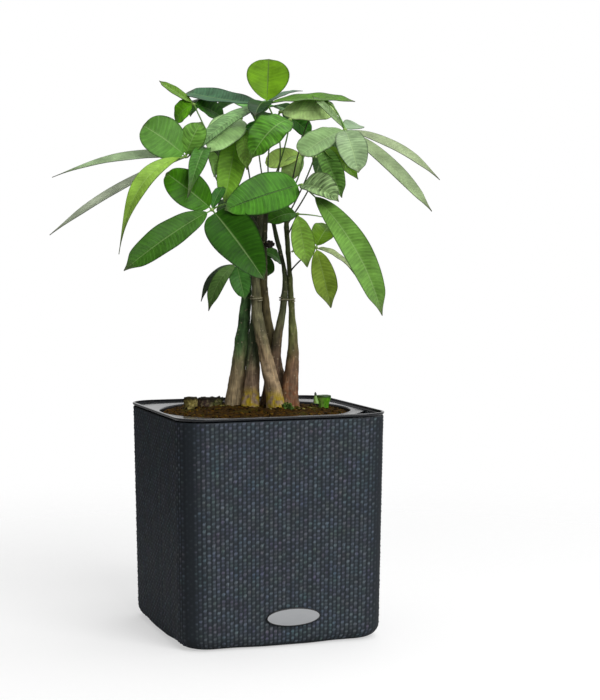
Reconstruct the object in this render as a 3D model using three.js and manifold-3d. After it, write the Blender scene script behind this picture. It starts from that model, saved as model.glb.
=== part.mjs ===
// A potted money tree: six braided young stems with palmate leaves, in a square woven planter.
// Millimetres, +Z up. The origin is the middle of the planter's base, and the badge faces -Y.
import * as THREE from 'three';
import { mergeVertices } from 'three/addons/utils/BufferGeometryUtils.js';
import Module from 'manifold-3d';

const wasm = await Module();
wasm.setup();

// ---- driving dimensions ----
const POT_WIDTH = 140;
const POT_HEIGHT = 146.8;
const POT_TAPER = 0.968;
const POT_CORNER = 14.4;
const POT_BASE_ROUND = 8.6;
const POT_WALL = 3;
const POT_FLOOR = 4;
const GAP = 0.3;

const RIM_HEIGHT = 3.2;
const RIM_OVERHANG = 0.6;
const RIM_WIDTH = 2.4;
const RIM_STEP = 0.9;
const TUB_RADIUS = 63.5;
const TUB_FLOOR_RADIUS = 56;
const TUB_FLOOR_Z = 42;
const TUB_WALL = 1.8;
const WATER_HOLE_LEG = 22;
const WATER_HOLE_MARGIN = 6;
const WATER_HOLE_ROUND = 3;
const DRAIN_RADIUS = 1.7;
const DRAIN_CIRCLE = 38;

const BADGE_WIDTH = 36.4;
const BADGE_HEIGHT = 12;
const BADGE_THICK = 1.3;
const BADGE_X = 3.2;
const BADGE_Z = 19;

const SOIL_EDGE_Z = 142;
const SOIL_TOP_Z = 149.8;
const STEM_FOOT_Z = 128;
const STUB_FOOT_Z = 138;

const BLADE_THICK = 0.8;
const PETIOLE_RADIUS = 1;
const HUB_RADIUS = 1.7;
const TWINE_RADIUS = 0.6;

// The crown is set out facing the planter's front left, where its best side is:
// in its own frame x runs to the right, y away and z up.
const CROWN_TURN = THREE.MathUtils.degToRad(-17.84);

// ---- materials ----
const MATERIALS = {
  wovenPlastic: new THREE.MeshStandardMaterial({ color: '#33373d', roughness: 0.6 }),
  glossPlastic: new THREE.MeshStandardMaterial({ color: '#26282b', roughness: 0.22 }),
  silverPlate: new THREE.MeshStandardMaterial({ color: '#d9dadb', roughness: 0.3, metalness: 0.9 }),
  soil: new THREE.MeshStandardMaterial({ color: '#47331c', roughness: 0.95 }),
  bark: new THREE.MeshStandardMaterial({ color: '#6b5a44', roughness: 0.8 }),
  twine: new THREE.MeshStandardMaterial({ color: '#b9b293', roughness: 0.85 }),
  cutWood: new THREE.MeshStandardMaterial({ color: '#8c7a4c', roughness: 0.8 }),
  greenShoot: new THREE.MeshStandardMaterial({ color: '#5e9a24', roughness: 0.5 }),
  leaf: new THREE.MeshStandardMaterial({ color: '#3f7a2e', roughness: 0.4 }),
  brightLeaf: new THREE.MeshStandardMaterial({ color: '#6b9a34', roughness: 0.42 }),
  paleLeaf: new THREE.MeshStandardMaterial({ color: '#86ae68', roughness: 0.45 }),
};

// ---- helpers ----
const vec = (point) => new THREE.Vector3(...point);

function bareGeometry(geometry) {
  geometry.deleteAttribute('normal');
  geometry.deleteAttribute('uv');
  return mergeVertices(geometry, 1e-4);
}

function solidOf(geometry) {
  const merged = bareGeometry(geometry);
  return new wasm.Manifold(new wasm.Mesh({
    numProp: 3,
    vertProperties: new Float32Array(merged.attributes.position.array),
    triVerts: new Uint32Array(merged.index.array),
  }));
}

function geometryOf(solid) {
  const mesh = solid.getMesh();
  const geometry = new THREE.BufferGeometry();
  geometry.setAttribute('position', new THREE.BufferAttribute(mesh.vertProperties, 3));
  geometry.setIndex(new THREE.BufferAttribute(mesh.triVerts, 1));
  return geometry;
}

function fused(geometries) {
  const [first, ...rest] = geometries.map(solidOf);
  return geometryOf(rest.reduce((whole, piece) => whole.add(piece), first));
}

function named(name, geometry, material) {
  const mesh = new THREE.Mesh(geometry, material);
  mesh.name = name;
  return mesh;
}

// Skins a stack of rings that have the same number of points, and closes both ends.
function loft(rings) {
  const count = rings[0].length;
  const positions = rings.flat().flat();
  const index = [];
  for (let ring = 0; ring + 1 < rings.length; ring += 1) {
    for (let k = 0; k < count; k += 1) {
      const a = ring * count + k;
      const b = ring * count + (k + 1) % count;
      index.push(a, b, b + count, a, b + count, a + count);
    }
  }
  const last = (rings.length - 1) * count;
  for (let k = 1; k + 1 < count; k += 1) {
    index.push(0, k + 1, k, last, last + k, last + k + 1);
  }
  const geometry = new THREE.BufferGeometry();
  geometry.setAttribute('position', new THREE.Float32BufferAttribute(positions, 3));
  geometry.setIndex(index);
  return geometry;
}

// ---- planter ----
const CORNER_STEPS = 4;

function roundedSquare(half, corner, z, sidePoints) {
  const points = [];
  for (let quarter = 0; quarter < 4; quarter += 1) {
    const turn = quarter * Math.PI / 2;
    const flat = half - corner;
    const place = (x, y) => points.push([
      x * Math.cos(turn) - y * Math.sin(turn), x * Math.sin(turn) + y * Math.cos(turn), z]);
    for (let k = 1; k <= sidePoints; k += 1) {
      place(half, flat * (2 * k / (sidePoints + 1) - 1));
    }
    for (let k = 0; k <= CORNER_STEPS; k += 1) {
      const angle = k / CORNER_STEPS * Math.PI / 2;
      place(flat + corner * Math.cos(angle), flat + corner * Math.sin(angle));
    }
  }
  return points;
}

function circleRing(radius, z, sidePoints) {
  const perQuarter = sidePoints + CORNER_STEPS + 1;
  const points = [];
  for (let k = 0; k < 4 * perQuarter; k += 1) {
    const angle = (k - (sidePoints - 1) / 2) / perQuarter * Math.PI / 2;
    points.push([radius * Math.cos(angle), radius * Math.sin(angle), z]);
  }
  return points;
}

const potTopZ = POT_HEIGHT - RIM_HEIGHT - GAP;

function potHalf(z) {
  return POT_WIDTH / 2 * THREE.MathUtils.lerp(POT_TAPER, 1, z / POT_HEIGHT);
}

function potShell() {
  const outer = (inset, z) => roundedSquare(potHalf(z) - inset, POT_CORNER - inset * 0.7, z, 0);
  const rings = [];
  const roundSteps = 4;
  for (let k = 0; k <= roundSteps; k += 1) {
    const angle = k / roundSteps * Math.PI / 2;
    rings.push(outer(POT_BASE_ROUND * (1 - Math.sin(angle)), POT_BASE_ROUND * (1 - Math.cos(angle))));
  }
  rings.push(outer(0, potTopZ));
  rings.push(outer(POT_WALL, potTopZ));
  rings.push(outer(POT_WALL, POT_BASE_ROUND));
  rings.push(outer(POT_WALL + 4, POT_FLOOR));
  return named('pot', loft(rings), MATERIALS.wovenPlastic);
}

const LINER_SIDE_POINTS = 6;

function waterHoleCutter() {
  const outside = POT_WIDTH / 2 - WATER_HOLE_MARGIN;
  const inside = outside - WATER_HOLE_LEG;
  const round = WATER_HOLE_ROUND;
  const shape = new THREE.Shape();
  shape.moveTo(inside + round * 2, -outside);
  shape.lineTo(outside - round, -outside);
  shape.quadraticCurveTo(outside, -outside, outside, -outside + round);
  shape.lineTo(outside, -inside - round * 2);
  shape.quadraticCurveTo(outside, -inside, outside - round, -inside - round);
  shape.lineTo(inside + round, -outside + round);
  shape.quadraticCurveTo(inside, -outside, inside + round * 2, -outside);
  const cutter = new THREE.ExtrudeGeometry(shape, { depth: 30, bevelEnabled: false, curveSegments: 3 });
  cutter.translate(0, 0, POT_HEIGHT - 20);
  return cutter;
}

function drainCutters() {
  return [0, 1, 2, 3].map((quarter) => {
    const cutter = new THREE.CylinderGeometry(DRAIN_RADIUS, DRAIN_RADIUS, 10, 10);
    cutter.rotateX(Math.PI / 2);
    const angle = quarter * Math.PI / 2;
    cutter.translate(DRAIN_CIRCLE * Math.cos(angle), DRAIN_CIRCLE * Math.sin(angle), TUB_FLOOR_Z);
    return cutter;
  });
}

function linerInsert() {
  const half = POT_WIDTH / 2 + RIM_OVERHANG;
  const bottomZ = POT_HEIGHT - RIM_HEIGHT;
  const square = (inset, z) => (
    roundedSquare(half - inset, POT_CORNER + RIM_OVERHANG - inset, z, LINER_SIDE_POINTS));
  const circle = (radius, z) => circleRing(radius, z, LINER_SIDE_POINTS);
  const rings = [
    circle(TUB_FLOOR_RADIUS + TUB_WALL, TUB_FLOOR_Z - TUB_WALL),
    circle(TUB_RADIUS + TUB_WALL, bottomZ),
    square(0, bottomZ),
    square(0, POT_HEIGHT - 0.7),
    square(0.7, POT_HEIGHT),
    square(RIM_WIDTH - 0.6, POT_HEIGHT),
    square(RIM_WIDTH, POT_HEIGHT - RIM_STEP),
    circle(TUB_RADIUS + 1, bottomZ + 1.5),
    circle(TUB_RADIUS, bottomZ + 0.6),
    circle(TUB_FLOOR_RADIUS, TUB_FLOOR_Z),
  ];
  const cutters = [waterHoleCutter(), ...drainCutters()];
  const body = cutters.reduce((whole, cutter) => whole.subtract(solidOf(cutter)), solidOf(loft(rings)));
  return named('liner', geometryOf(body), MATERIALS.glossPlastic);
}

function badgePlate() {
  const shape = new THREE.Shape();
  shape.absellipse(0, 0, BADGE_WIDTH / 2, BADGE_HEIGHT / 2, 0, Math.PI * 2);
  const bevel = 0.4;
  const plate = new THREE.ExtrudeGeometry(shape, {
    depth: BADGE_THICK - bevel, bevelThickness: bevel, bevelSize: bevel, bevelOffset: -bevel,
    bevelSegments: 1, curveSegments: 16,
  });
  const mesh = named('badge', bareGeometry(plate), MATERIALS.silverPlate);
  const wallSlope = Math.atan((potHalf(POT_HEIGHT) - potHalf(0)) / POT_HEIGHT);
  mesh.rotation.x = Math.PI / 2 + wallSlope;
  mesh.position.set(BADGE_X, -potHalf(BADGE_Z) - GAP - bevel, BADGE_Z);
  return mesh;
}

// ---- stems ----
// Each row is x, y, z and radius, from the foot in the soil to the top bud.
const STEMS = {
  trunk_left: [
    [-14.4, 8, STEM_FOOT_Z, 5.4], [-14.4, 8, 150, 5.8], [-12.8, 8, 160, 5.5], [-11, 8, 172, 5.1],
    [-9.2, 8, 190, 4.6], [-6.4, 8, 212, 3.7], [-5, 9.5, 238, 2.7], [-5, 11, 266, 2.2],
    [-4.5, 12, 284, 1.9], [-4.5, 12, 287, 0.9]],
  trunk_middle: [
    [-3, 0, STEM_FOOT_Z, 5.3], [-3, 0, 150, 5.6], [-2.2, 1, 160, 5.2], [-1.4, 2, 174, 4.6],
    [-0.8, 2.8, 192, 3.5], [0.4, 3, 216, 2.7], [-0.4, 3, 244, 2.4], [-0.5, 3, 268, 2.2],
    [0, 4, 285, 1.9], [0, 4, 288, 0.9]],
  trunk_front: [
    [14, -8, STEM_FOOT_Z, 5.6], [14, -8, 150, 5.8], [11.4, -8, 162, 5.3], [8, -8, 178, 4.6],
    [4.4, -7.5, 194, 4.1], [1.6, -6.2, 209, 3.7], [0.8, -5.6, 222, 3], [0.6, -5.2, 240, 2.6],
    [3, -5, 268, 2.1], [5, -6, 288, 1.8], [5, -6, 291, 0.8]],
  trunk_centre_right: [
    [20, 14, STEM_FOOT_Z, 4.7], [20, 14, 150, 4.8], [17.6, 13.6, 162, 4.2], [14.5, 12.6, 178, 3.6],
    [8.9, 9, 202, 3], [6.4, 7.4, 220, 2.8], [5.6, 7.6, 244, 2.5], [6.3, 8, 268, 2.1],
    [7.5, 8, 288, 1.8], [7.5, 8, 291, 0.8]],
  trunk_back_right: [
    [8, 6, STEM_FOOT_Z, 4.7], [8, 6, 150, 4.8], [10.2, 5, 160, 4.5], [13.2, 4, 177, 3.8],
    [15.9, 3.6, 198, 2.8], [19.2, 3, 218, 2.2], [19.6, 3, 238, 1.5], [12.8, 2, 268, 1.5],
    [12, 0, 286, 1.4], [12, 0, 288, 0.7]],
  trunk_right: [
    [22.8, 1, STEM_FOOT_Z, 6], [22.8, 1, 150, 6.2], [23.6, 1.4, 162, 5.5], [24.6, 2, 174, 4.6],
    [25.4, 2.6, 186, 3.6], [25, 3, 202, 2.6], [24, 3, 218, 2], [23, 2.6, 238, 1.6],
    [21, 1, 268, 1.6], [21.5, 1, 286, 1.4], [21.5, 1, 288, 0.7]],
};
const STEM_SIDES = 9;

function stemGeometry(rows) {
  return loft(rows.map(([x, y, z, radius]) => {
    const ring = [];
    for (let k = 0; k < STEM_SIDES; k += 1) {
      const angle = k / STEM_SIDES * Math.PI * 2;
      ring.push([x + radius * Math.cos(angle), y + radius * Math.sin(angle), z]);
    }
    return ring;
  }));
}

function stemAt(name, z) {
  const rows = STEMS[name];
  const upper = rows.findIndex((row) => row[2] >= z);
  const [low, high] = [rows[upper - 1], rows[upper]];
  const share = (z - low[2]) / (high[2] - low[2]);
  return low.map((value, k) => THREE.MathUtils.lerp(value, high[k], share));
}

// Twine round two neighbouring stems, as a helix with two short loose ends.
class TwineCurve extends THREE.Curve {
  constructor(first, second, z, turns) {
    super();
    Object.assign(this, { first: stemAt(first, z), second: stemAt(second, z), z, turns });
  }

  getPoint(t) {
    const angle = -Math.PI / 2 + 0.3 + t * this.turns * Math.PI * 2;
    const away = new THREE.Vector3(Math.cos(angle), Math.sin(angle), 0);
    const reach = (row) => away.x * row[0] + away.y * row[1] + row[3];
    const row = reach(this.first) > reach(this.second) ? this.first : this.second;
    const end = Math.max(0, 0.06 - t, t - 0.94) / 0.06;
    const radius = row[3] + GAP + TWINE_RADIUS + 0.15 + 4 * end;
    const pitch = TWINE_RADIUS * 2.5;
    return new THREE.Vector3(
      row[0] + radius * away.x, row[1] + radius * away.y, this.z + (t - 0.5) * this.turns * pitch);
  }
}

function polygonShape(sides, radius) {
  const points = [];
  for (let k = 0; k < sides; k += 1) {
    const angle = k / sides * Math.PI * 2;
    points.push(new THREE.Vector2(radius * Math.cos(angle), radius * Math.sin(angle)));
  }
  return new THREE.Shape(points);
}

function tube(curve, radius, sides, steps) {
  return new THREE.ExtrudeGeometry(
    polygonShape(sides, radius), { extrudePath: curve, steps, bevelEnabled: false });
}

function tie(name, first, second, z) {
  const curve = new TwineCurve(first, second, z, 1.9);
  return named(name, bareGeometry(tube(curve, TWINE_RADIUS, 5, 30)), MATERIALS.twine);
}

// ---- soil and what stands in it ----
const SOIL_SIDES = 36;
const HOLE_SIDES = 12;
const HOLE_PLAY = 0.7;

const STUBS = {
  stub_left: { at: [-43.5, 8], radius: [4.6, 4.6], top: 153 },
  stub_right: { at: [44, 12], radius: [4.7, 4.7], top: 154.5 },
  bark_piece: { at: [-30, 11], radius: [8.2, 5], top: 153.5 },
};

function post(at, radius, bottom, top, sides) {
  const geometry = new THREE.CylinderGeometry(1, 1, top - bottom, sides);
  geometry.rotateX(Math.PI / 2);
  geometry.scale(radius[0], radius[1], 1);
  geometry.translate(at[0], at[1], (bottom + top) / 2);
  return geometry;
}

function soilMound() {
  const bottom = TUB_FLOOR_Z + GAP;
  const play = 0.6;
  const profile = [
    [0, bottom], [TUB_FLOOR_RADIUS - play, bottom], [TUB_RADIUS - play - 0.1, SOIL_EDGE_Z - 1],
    [TUB_RADIUS - 2, SOIL_EDGE_Z], [52, SOIL_EDGE_Z + 1.6], [36, SOIL_EDGE_Z + 4.6],
    [22, SOIL_TOP_Z - 0.8], [0, SOIL_TOP_Z]];
  const mound = new THREE.LatheGeometry(profile.map(([r, z]) => new THREE.Vector2(r, z)), SOIL_SIDES);
  mound.rotateX(Math.PI / 2);
  const holes = Object.values(STEMS).map(([[x, y, z, radius]]) => (
    post([x, y], [radius + HOLE_PLAY, radius + HOLE_PLAY], z - GAP, SOIL_TOP_Z + 5, HOLE_SIDES)));
  for (const { at, radius } of Object.values(STUBS)) {
    const [wide, deep] = radius.map((value) => value + HOLE_PLAY);
    holes.push(post(at, [wide, deep], STUB_FOOT_Z - GAP, SOIL_TOP_Z + 5, HOLE_SIDES));
  }
  const body = holes.reduce((whole, hole) => whole.subtract(solidOf(hole)), solidOf(mound));
  return named('soil', geometryOf(body), MATERIALS.soil);
}

function cutStub(name) {
  const { at, radius, top } = STUBS[name];
  return post(at, radius, STUB_FOOT_Z, top, HOLE_SIDES);
}

// The right stub keeps a scrap of green sheath with a drawn-out point beside it.
function greenStub() {
  const { at, top } = STUBS.stub_right;
  const sheath = new THREE.ConeGeometry(2.4, 9, 7);
  sheath.rotateX(Math.PI / 2);
  sheath.translate(at[0] - 4.4, at[1] - 1.2, top - 1.4);
  return fused([cutStub('stub_right'), sheath]);
}

// ---- leaves ----
// A leaflet is one thin folded blade from the hub to its tip. arch lifts its middle along the
// blade's upper face, bend carries it sideways, tilt turns the upper face from the sky (0) to
// the crown's front (90), lean turns it to the right, fold lifts both halves along the midrib,
// and widest says how far along the widest place lies.
const BLADE_STATIONS = [0, 0.12, 0.32, 0.54, 0.75, 0.91, 1];
const FULLNESS = 1.3;

function bladeHalfWidth(share, wide, widest) {
  const lower = widest * FULLNESS;
  const upper = (1 - widest) * FULLNESS;
  const swell = (share / widest) ** lower * ((1 - share) / (1 - widest)) ** upper;
  return Math.max(wide / 2 * swell, share < 0.5 ? PETIOLE_RADIUS : 0.4);
}

function leafletGeometry(hub, spec) {
  const { tip, wide, arch = 4, bend = 0, tilt = 40, lean = 0, fold = 14, widest = 0.5, stalk = 0.06 } = spec;
  const radians = THREE.MathUtils.degToRad;
  const start = vec(hub);
  const end = vec(tip);
  const along = end.clone().sub(start).normalize();
  const face = new THREE.Vector3(
    Math.sin(radians(lean)),
    -Math.sin(radians(tilt)) * Math.cos(radians(lean)),
    Math.cos(radians(tilt)) * Math.cos(radians(lean)));
  face.addScaledVector(along, -face.dot(along)).normalize();
  const side = face.clone().cross(along);
  const middle = start.clone().lerp(end, 0.5).addScaledVector(face, 2 * arch).addScaledVector(side, 2 * bend);
  const rib = new THREE.QuadraticBezierCurve3(start, middle, end);
  const stations = [[0, PETIOLE_RADIUS]];
  for (const share of BLADE_STATIONS) {
    stations.push([stalk + (1 - stalk) * share, bladeHalfWidth(share, wide, widest)]);
  }
  const positions = [];
  for (const [t, half] of stations) {
    const point = rib.getPoint(t);
    const run = rib.getTangent(t);
    const normal = face.clone().addScaledVector(run, -face.dot(run)).normalize();
    const across = normal.clone().cross(run);
    const left = point.clone()
      .addScaledVector(across, half * Math.cos(radians(fold)))
      .addScaledVector(normal, half * Math.sin(radians(fold)));
    const right = point.clone()
      .addScaledVector(across, -half * Math.cos(radians(fold)))
      .addScaledVector(normal, half * Math.sin(radians(fold)));
    for (const corner of [left, point, right]) {
      positions.push(...corner.toArray());
    }
    for (const corner of [right, point, left]) {
      positions.push(...corner.clone().addScaledVector(normal, -BLADE_THICK).toArray());
    }
  }
  return bladeSkin(positions, stations.length);
}

// Six points a station, round the blade. Both faces take the same diagonals.
function bladeSkin(positions, count) {
  const index = [];
  for (let s = 0; s + 1 < count; s += 1) {
    for (let k = 0; k < 6; k += 1) {
      const a = s * 6 + k;
      const b = s * 6 + (k + 1) % 6;
      if (k < 3) {
        index.push(a, b, b + 6, a, b + 6, a + 6);
      } else {
        index.push(a, b, a + 6, b, b + 6, a + 6);
      }
    }
  }
  const last = (count - 1) * 6;
  for (const [a, b, c] of [[0, 1, 5], [1, 4, 5], [1, 2, 4], [2, 3, 4]]) {
    index.push(a, c, b, last + a, last + b, last + c);
  }
  const geometry = new THREE.BufferGeometry();
  geometry.setAttribute('position', new THREE.Float32BufferAttribute(positions, 3));
  geometry.setIndex(index);
  return geometry;
}

// The petiole leaves its stem at height foot, heads for via and ends at the hub.
function petioleGeometry({ stem, foot, via, hub }) {
  const [x, y, z, radius] = stemAt(stem, foot);
  const heading = vec(via).sub(new THREE.Vector3(x, y, z));
  const level = new THREE.Vector3(heading.x, heading.y, 0).normalize();
  const rise = heading.z / heading.length();
  const reach = radius + GAP + PETIOLE_RADIUS * Math.abs(rise);
  const start = new THREE.Vector3(x, y, z).addScaledVector(level, reach);
  return tube(new THREE.QuadraticBezierCurve3(start, vec(via), vec(hub)), PETIOLE_RADIUS, 5, 6);
}

function compoundLeaf(leaf) {
  const knob = new THREE.IcosahedronGeometry(HUB_RADIUS, 0);
  knob.translate(...leaf.hub);
  const blades = leaf.leaflets.map((leaflet) => leafletGeometry(leaf.hub, leaflet));
  return fused([petioleGeometry(leaf), knob, ...blades]);
}

const LEAVES = {
  leaf_top: {
    stem: 'trunk_centre_right', foot: 284, via: [26, 6, 318], hub: [8, 0, 349], material: 'brightLeaf',
    leaflets: [
      { tip: [7, 24, 375], wide: 28, arch: 15, tilt: 40, fold: 5, widest: 0.5 },
      { tip: [65, -10, 349], wide: 19, arch: 2, tilt: 24 },
      { tip: [-46, 38, 360], wide: 21, arch: 1, tilt: 25 },
      { tip: [33, 48, 361], wide: 12, arch: 3, tilt: 10 },
      { tip: [-38, -66, 315], wide: 19, arch: 7, tilt: 28 },
      { tip: [0, -36, 338], wide: 15, arch: 4, tilt: 20 },
    ],
  },
  leaf_left_front: {
    stem: 'trunk_left', foot: 276, via: [-34, -6, 346], hub: [-44, -44, 312], material: 'paleLeaf',
    leaflets: [
      { tip: [-72, -58, 331], wide: 25, arch: 3, tilt: 65, widest: 0.58, fold: 8 },
      { tip: [-130, -30, 299], wide: 20, arch: 5, tilt: 17 },
      { tip: [-129, -62, 262], wide: 18, arch: 4, tilt: 22 },
      { tip: [-82, -84, 250], wide: 14, arch: 18, tilt: 30, widest: 0.42 },
      { tip: [-43, -44, 338], wide: 17, arch: 3, tilt: 60, fold: 8 },
    ],
  },
  leaf_left_low: {
    stem: 'trunk_front', foot: 266, via: [-8, -34, 290], hub: [-27, -58, 278], material: 'leaf',
    leaflets: [
      { tip: [-56, -66, 301], wide: 23, arch: 3, tilt: 75, fold: 8 },
      { tip: [-81, -84, 240], wide: 21, arch: 4, tilt: 60, widest: 0.55 },
      { tip: [6, -84, 234], wide: 31, arch: 4, tilt: 68, widest: 0.36 },
      { tip: [-20, -40, 293], wide: 8, arch: 2, tilt: 30 },
    ],
  },
  leaf_front: {
    stem: 'trunk_right', foot: 279, via: [26, -24, 296], hub: [30, -48, 294], material: 'leaf',
    leaflets: [
      { tip: [-19, -66, 279.5], wide: 28, arch: 4, tilt: 70, widest: 0.4 },
      { tip: [79, -84, 212], wide: 19, arch: 3, bend: 7, tilt: 60, widest: 0.5, stalk: 0.12 },
      { tip: [53, -62, 283], wide: 22, arch: 4, tilt: 50, fold: 30, widest: 0.4 },
    ],
  },
  leaf_right_high: {
    stem: 'trunk_right', foot: 283, via: [40, -10, 385], hub: [58, -34, 330], material: 'paleLeaf',
    leaflets: [
      { tip: [29, -52, 315], wide: 19, arch: 2, tilt: 45, widest: 0.6 },
      { tip: [65, -66, 301], wide: 20, arch: 4, tilt: 62 },
      { tip: [121, -20, 298], wide: 17, arch: 5, tilt: 30 },
      { tip: [113, -50, 277], wide: 18, arch: 4, tilt: 35 },
      { tip: [71, 8, 334], wide: 12, arch: 3, tilt: 20 },
    ],
  },
  leaf_right_upper: {
    stem: 'trunk_back_right', foot: 282, via: [4, 8, 318], hub: [17, 6, 344], material: 'brightLeaf',
    leaflets: [
      { tip: [55, -4, 342], wide: 21, arch: 0, tilt: 42 },
      { tip: [38, 12, 328], wide: 17, arch: 2, tilt: 50 },
      { tip: [34, 62, 338], wide: 20, arch: 5, tilt: 20 },
    ],
  },
  leaf_front_high: {
    stem: 'trunk_front', foot: 284, via: [20, -14, 312], hub: [23, -22, 337], material: 'leaf',
    leaflets: [
      { tip: [-3, -44, 312], wide: 24, arch: 8, tilt: 50, widest: 0.45 },
      { tip: [-8, -20, 330], wide: 14, arch: 1, tilt: 30 },
    ],
  },
  leaf_centre_left: {
    stem: 'trunk_middle', foot: 284, via: [-6, -2, 315], hub: [-9, -4, 339], material: 'brightLeaf',
    leaflets: [
      { tip: [-29, -30, 318], wide: 20, arch: 4, tilt: 50, fold: 25 },
      { tip: [-6, -26, 305], wide: 12, arch: 3, tilt: 80 },
      { tip: [-20, -16, 283], wide: 19, arch: 3, tilt: 80, widest: 0.58 },
    ],
  },
  leaf_left_inner: {
    stem: 'trunk_left', foot: 268, via: [-28, 2, 296], hub: [-31, -24, 318], material: 'leaf',
    leaflets: [
      { tip: [-43, -46, 283], wide: 15, arch: 5, tilt: 60, fold: 28 },
      { tip: [-26, -6, 300], wide: 11, arch: 2, tilt: 50 },
    ],
  },
  leaf_left_high: {
    stem: 'trunk_left', foot: 283, via: [-30, 22, 325], hub: [-41, 22, 350], material: 'brightLeaf',
    leaflets: [
      { tip: [-65, 40, 367], wide: 12, arch: 0, tilt: 30 },
      { tip: [-54, 30, 341], wide: 12, arch: 3, tilt: 40 },
      { tip: [-18, 40, 347], wide: 23, arch: 1, tilt: 36 },
      { tip: [-50, 72, 345], wide: 20, arch: 6, tilt: 20 },
    ],
  },
  leaf_back_small: {
    stem: 'trunk_back_right', foot: 278, via: [30, 14, 292], hub: [33, 28, 316], material: 'brightLeaf',
    leaflets: [
      { tip: [7, 34, 314], wide: 16, arch: 1, tilt: 45 },
      { tip: [20, 30, 299], wide: 14, arch: 2, tilt: 60 },
      { tip: [46, 52, 314], wide: 13, arch: 2, tilt: 35 },
      { tip: [22, 74, 306], wide: 18, arch: 5, tilt: 20 },
    ],
  },
  leaf_right_inner: {
    stem: 'trunk_right', foot: 275, via: [36, -4, 300], hub: [42, -12, 322], material: 'leaf',
    leaflets: [
      { tip: [56, -38, 286], wide: 16, arch: 3, tilt: 60, fold: 28 },
      { tip: [67, -30, 298], wide: 12, arch: 2, tilt: 45, fold: 24 },
    ],
  },
  leaf_middle_low: {
    stem: 'trunk_right', foot: 262, via: [26, -8, 270], hub: [28, -16, 276], material: 'leaf',
    leaflets: [
      { tip: [10, -22, 269], wide: 15, arch: 3, tilt: 50 },
      { tip: [34, -30, 242], wide: 17, arch: 3, tilt: 80, widest: 0.45 },
      { tip: [62, -2, 268], wide: 12, arch: 2, tilt: 20, stalk: 0.5 },
    ],
  },
  leaf_right_low: {
    stem: 'trunk_right', foot: 238, via: [31, -5, 247], hub: [40, -18, 254], material: 'brightLeaf',
    leaflets: [
      { tip: [49, -40, 215], wide: 18, arch: 3, tilt: 75, widest: 0.5 },
      { tip: [66, -6, 236], wide: 13, arch: 3, tilt: 25 },
      { tip: [50, 2, 268], wide: 17, arch: 3, tilt: 50, widest: 0.55 },
      { tip: [24, -2, 251], wide: 9, arch: 1, tilt: 40 },
    ],
  },
  leaf_lower_left: {
    stem: 'trunk_left', foot: 240, via: [-13, 0, 247], hub: [-12, -24, 243], material: 'leaf',
    leaflets: [
      { tip: [-30, -38, 213], wide: 10, arch: 10, tilt: 45 },
      { tip: [-35, -32, 219], wide: 6, arch: 9, tilt: 40 },
      { tip: [-8, -32, 207], wide: 11, arch: 3, tilt: 85 },
    ],
  },
  leaf_behind_low: {
    stem: 'trunk_centre_right', foot: 244, via: [5, 14, 249], hub: [5, 20, 251], material: 'leaf',
    leaflets: [
      { tip: [18, 32, 243], wide: 12, arch: 2, tilt: 50 },
      { tip: [9, 30, 230], wide: 14, arch: 3, tilt: 70 },
    ],
  },
  leaf_back_left: {
    stem: 'trunk_left', foot: 276, via: [-14, 26, 306], hub: [-22, 44, 330], material: 'leaf',
    leaflets: [
      { tip: [-40, 78, 323], wide: 22, arch: 6, tilt: 10 },
      { tip: [-26, 106, 316], wide: 24, arch: 8, tilt: 5 },
      { tip: [-8, 94, 308], wide: 22, arch: 8, tilt: 5 },
      { tip: [-18, 66, 294], wide: 16, arch: 5, tilt: 5 },
    ],
  },
  leaf_back_right: {
    stem: 'trunk_right', foot: 270, via: [44, 14, 300], hub: [48, 44, 326], material: 'leaf',
    leaflets: [
      { tip: [66, 72, 328], wide: 20, arch: 6, tilt: 10 },
      { tip: [42, 102, 318], wide: 24, arch: 8, tilt: 5 },
      { tip: [62, 92, 308], wide: 22, arch: 8, tilt: 5 },
      { tip: [48, 80, 298], wide: 16, arch: 5, tilt: 5 },
    ],
  },
  leaf_back_top: {
    stem: 'trunk_centre_right', foot: 287, via: [2, 26, 318], hub: [0, 40, 345], material: 'leaf',
    leaflets: [
      { tip: [-24, 74, 350], wide: 20, arch: 6, tilt: 10 },
      { tip: [2, 104, 346], wide: 24, arch: 9, tilt: 5 },
      { tip: [28, 88, 346], wide: 20, arch: 6, tilt: 5 },
      { tip: [10, 76, 332], wide: 16, arch: 5, tilt: 5 },
    ],
  },
  leaf_back_low: {
    stem: 'trunk_left', foot: 262, via: [-4, 30, 284], hub: [0, 46, 288], material: 'leaf',
    leaflets: [
      { tip: [-24, 74, 274], wide: 20, arch: 6, tilt: 10 },
      { tip: [4, 104, 276], wide: 24, arch: 8, tilt: 5 },
      { tip: [20, 82, 280], wide: 18, arch: 6, tilt: 5 },
      { tip: [-6, 64, 260], wide: 16, arch: 5, tilt: 5 },
    ],
  },
};

// ---- assembly ----
function crownGroup() {
  const crown = new THREE.Group();
  crown.rotation.z = CROWN_TURN;
  crown.add(soilMound());
  for (const [name, rows] of Object.entries(STEMS)) {
    crown.add(named(name, stemGeometry(rows), MATERIALS.bark));
  }
  crown.add(tie('tie_right', 'trunk_right', 'trunk_back_right', 219));
  crown.add(tie('tie_middle', 'trunk_front', 'trunk_middle', 220));
  crown.add(named('stub_left', bareGeometry(cutStub('stub_left')), MATERIALS.cutWood));
  crown.add(named('bark_piece', bareGeometry(cutStub('bark_piece')), MATERIALS.bark));
  crown.add(named('stub_right', greenStub(), MATERIALS.greenShoot));
  for (const [name, leaf] of Object.entries(LEAVES)) {
    crown.add(named(name, compoundLeaf(leaf), MATERIALS[leaf.material]));
  }
  return crown;
}

const moneyTree = new THREE.Group();
moneyTree.add(potShell(), linerInsert(), badgePlate(), crownGroup());

export default moneyTree;
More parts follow.
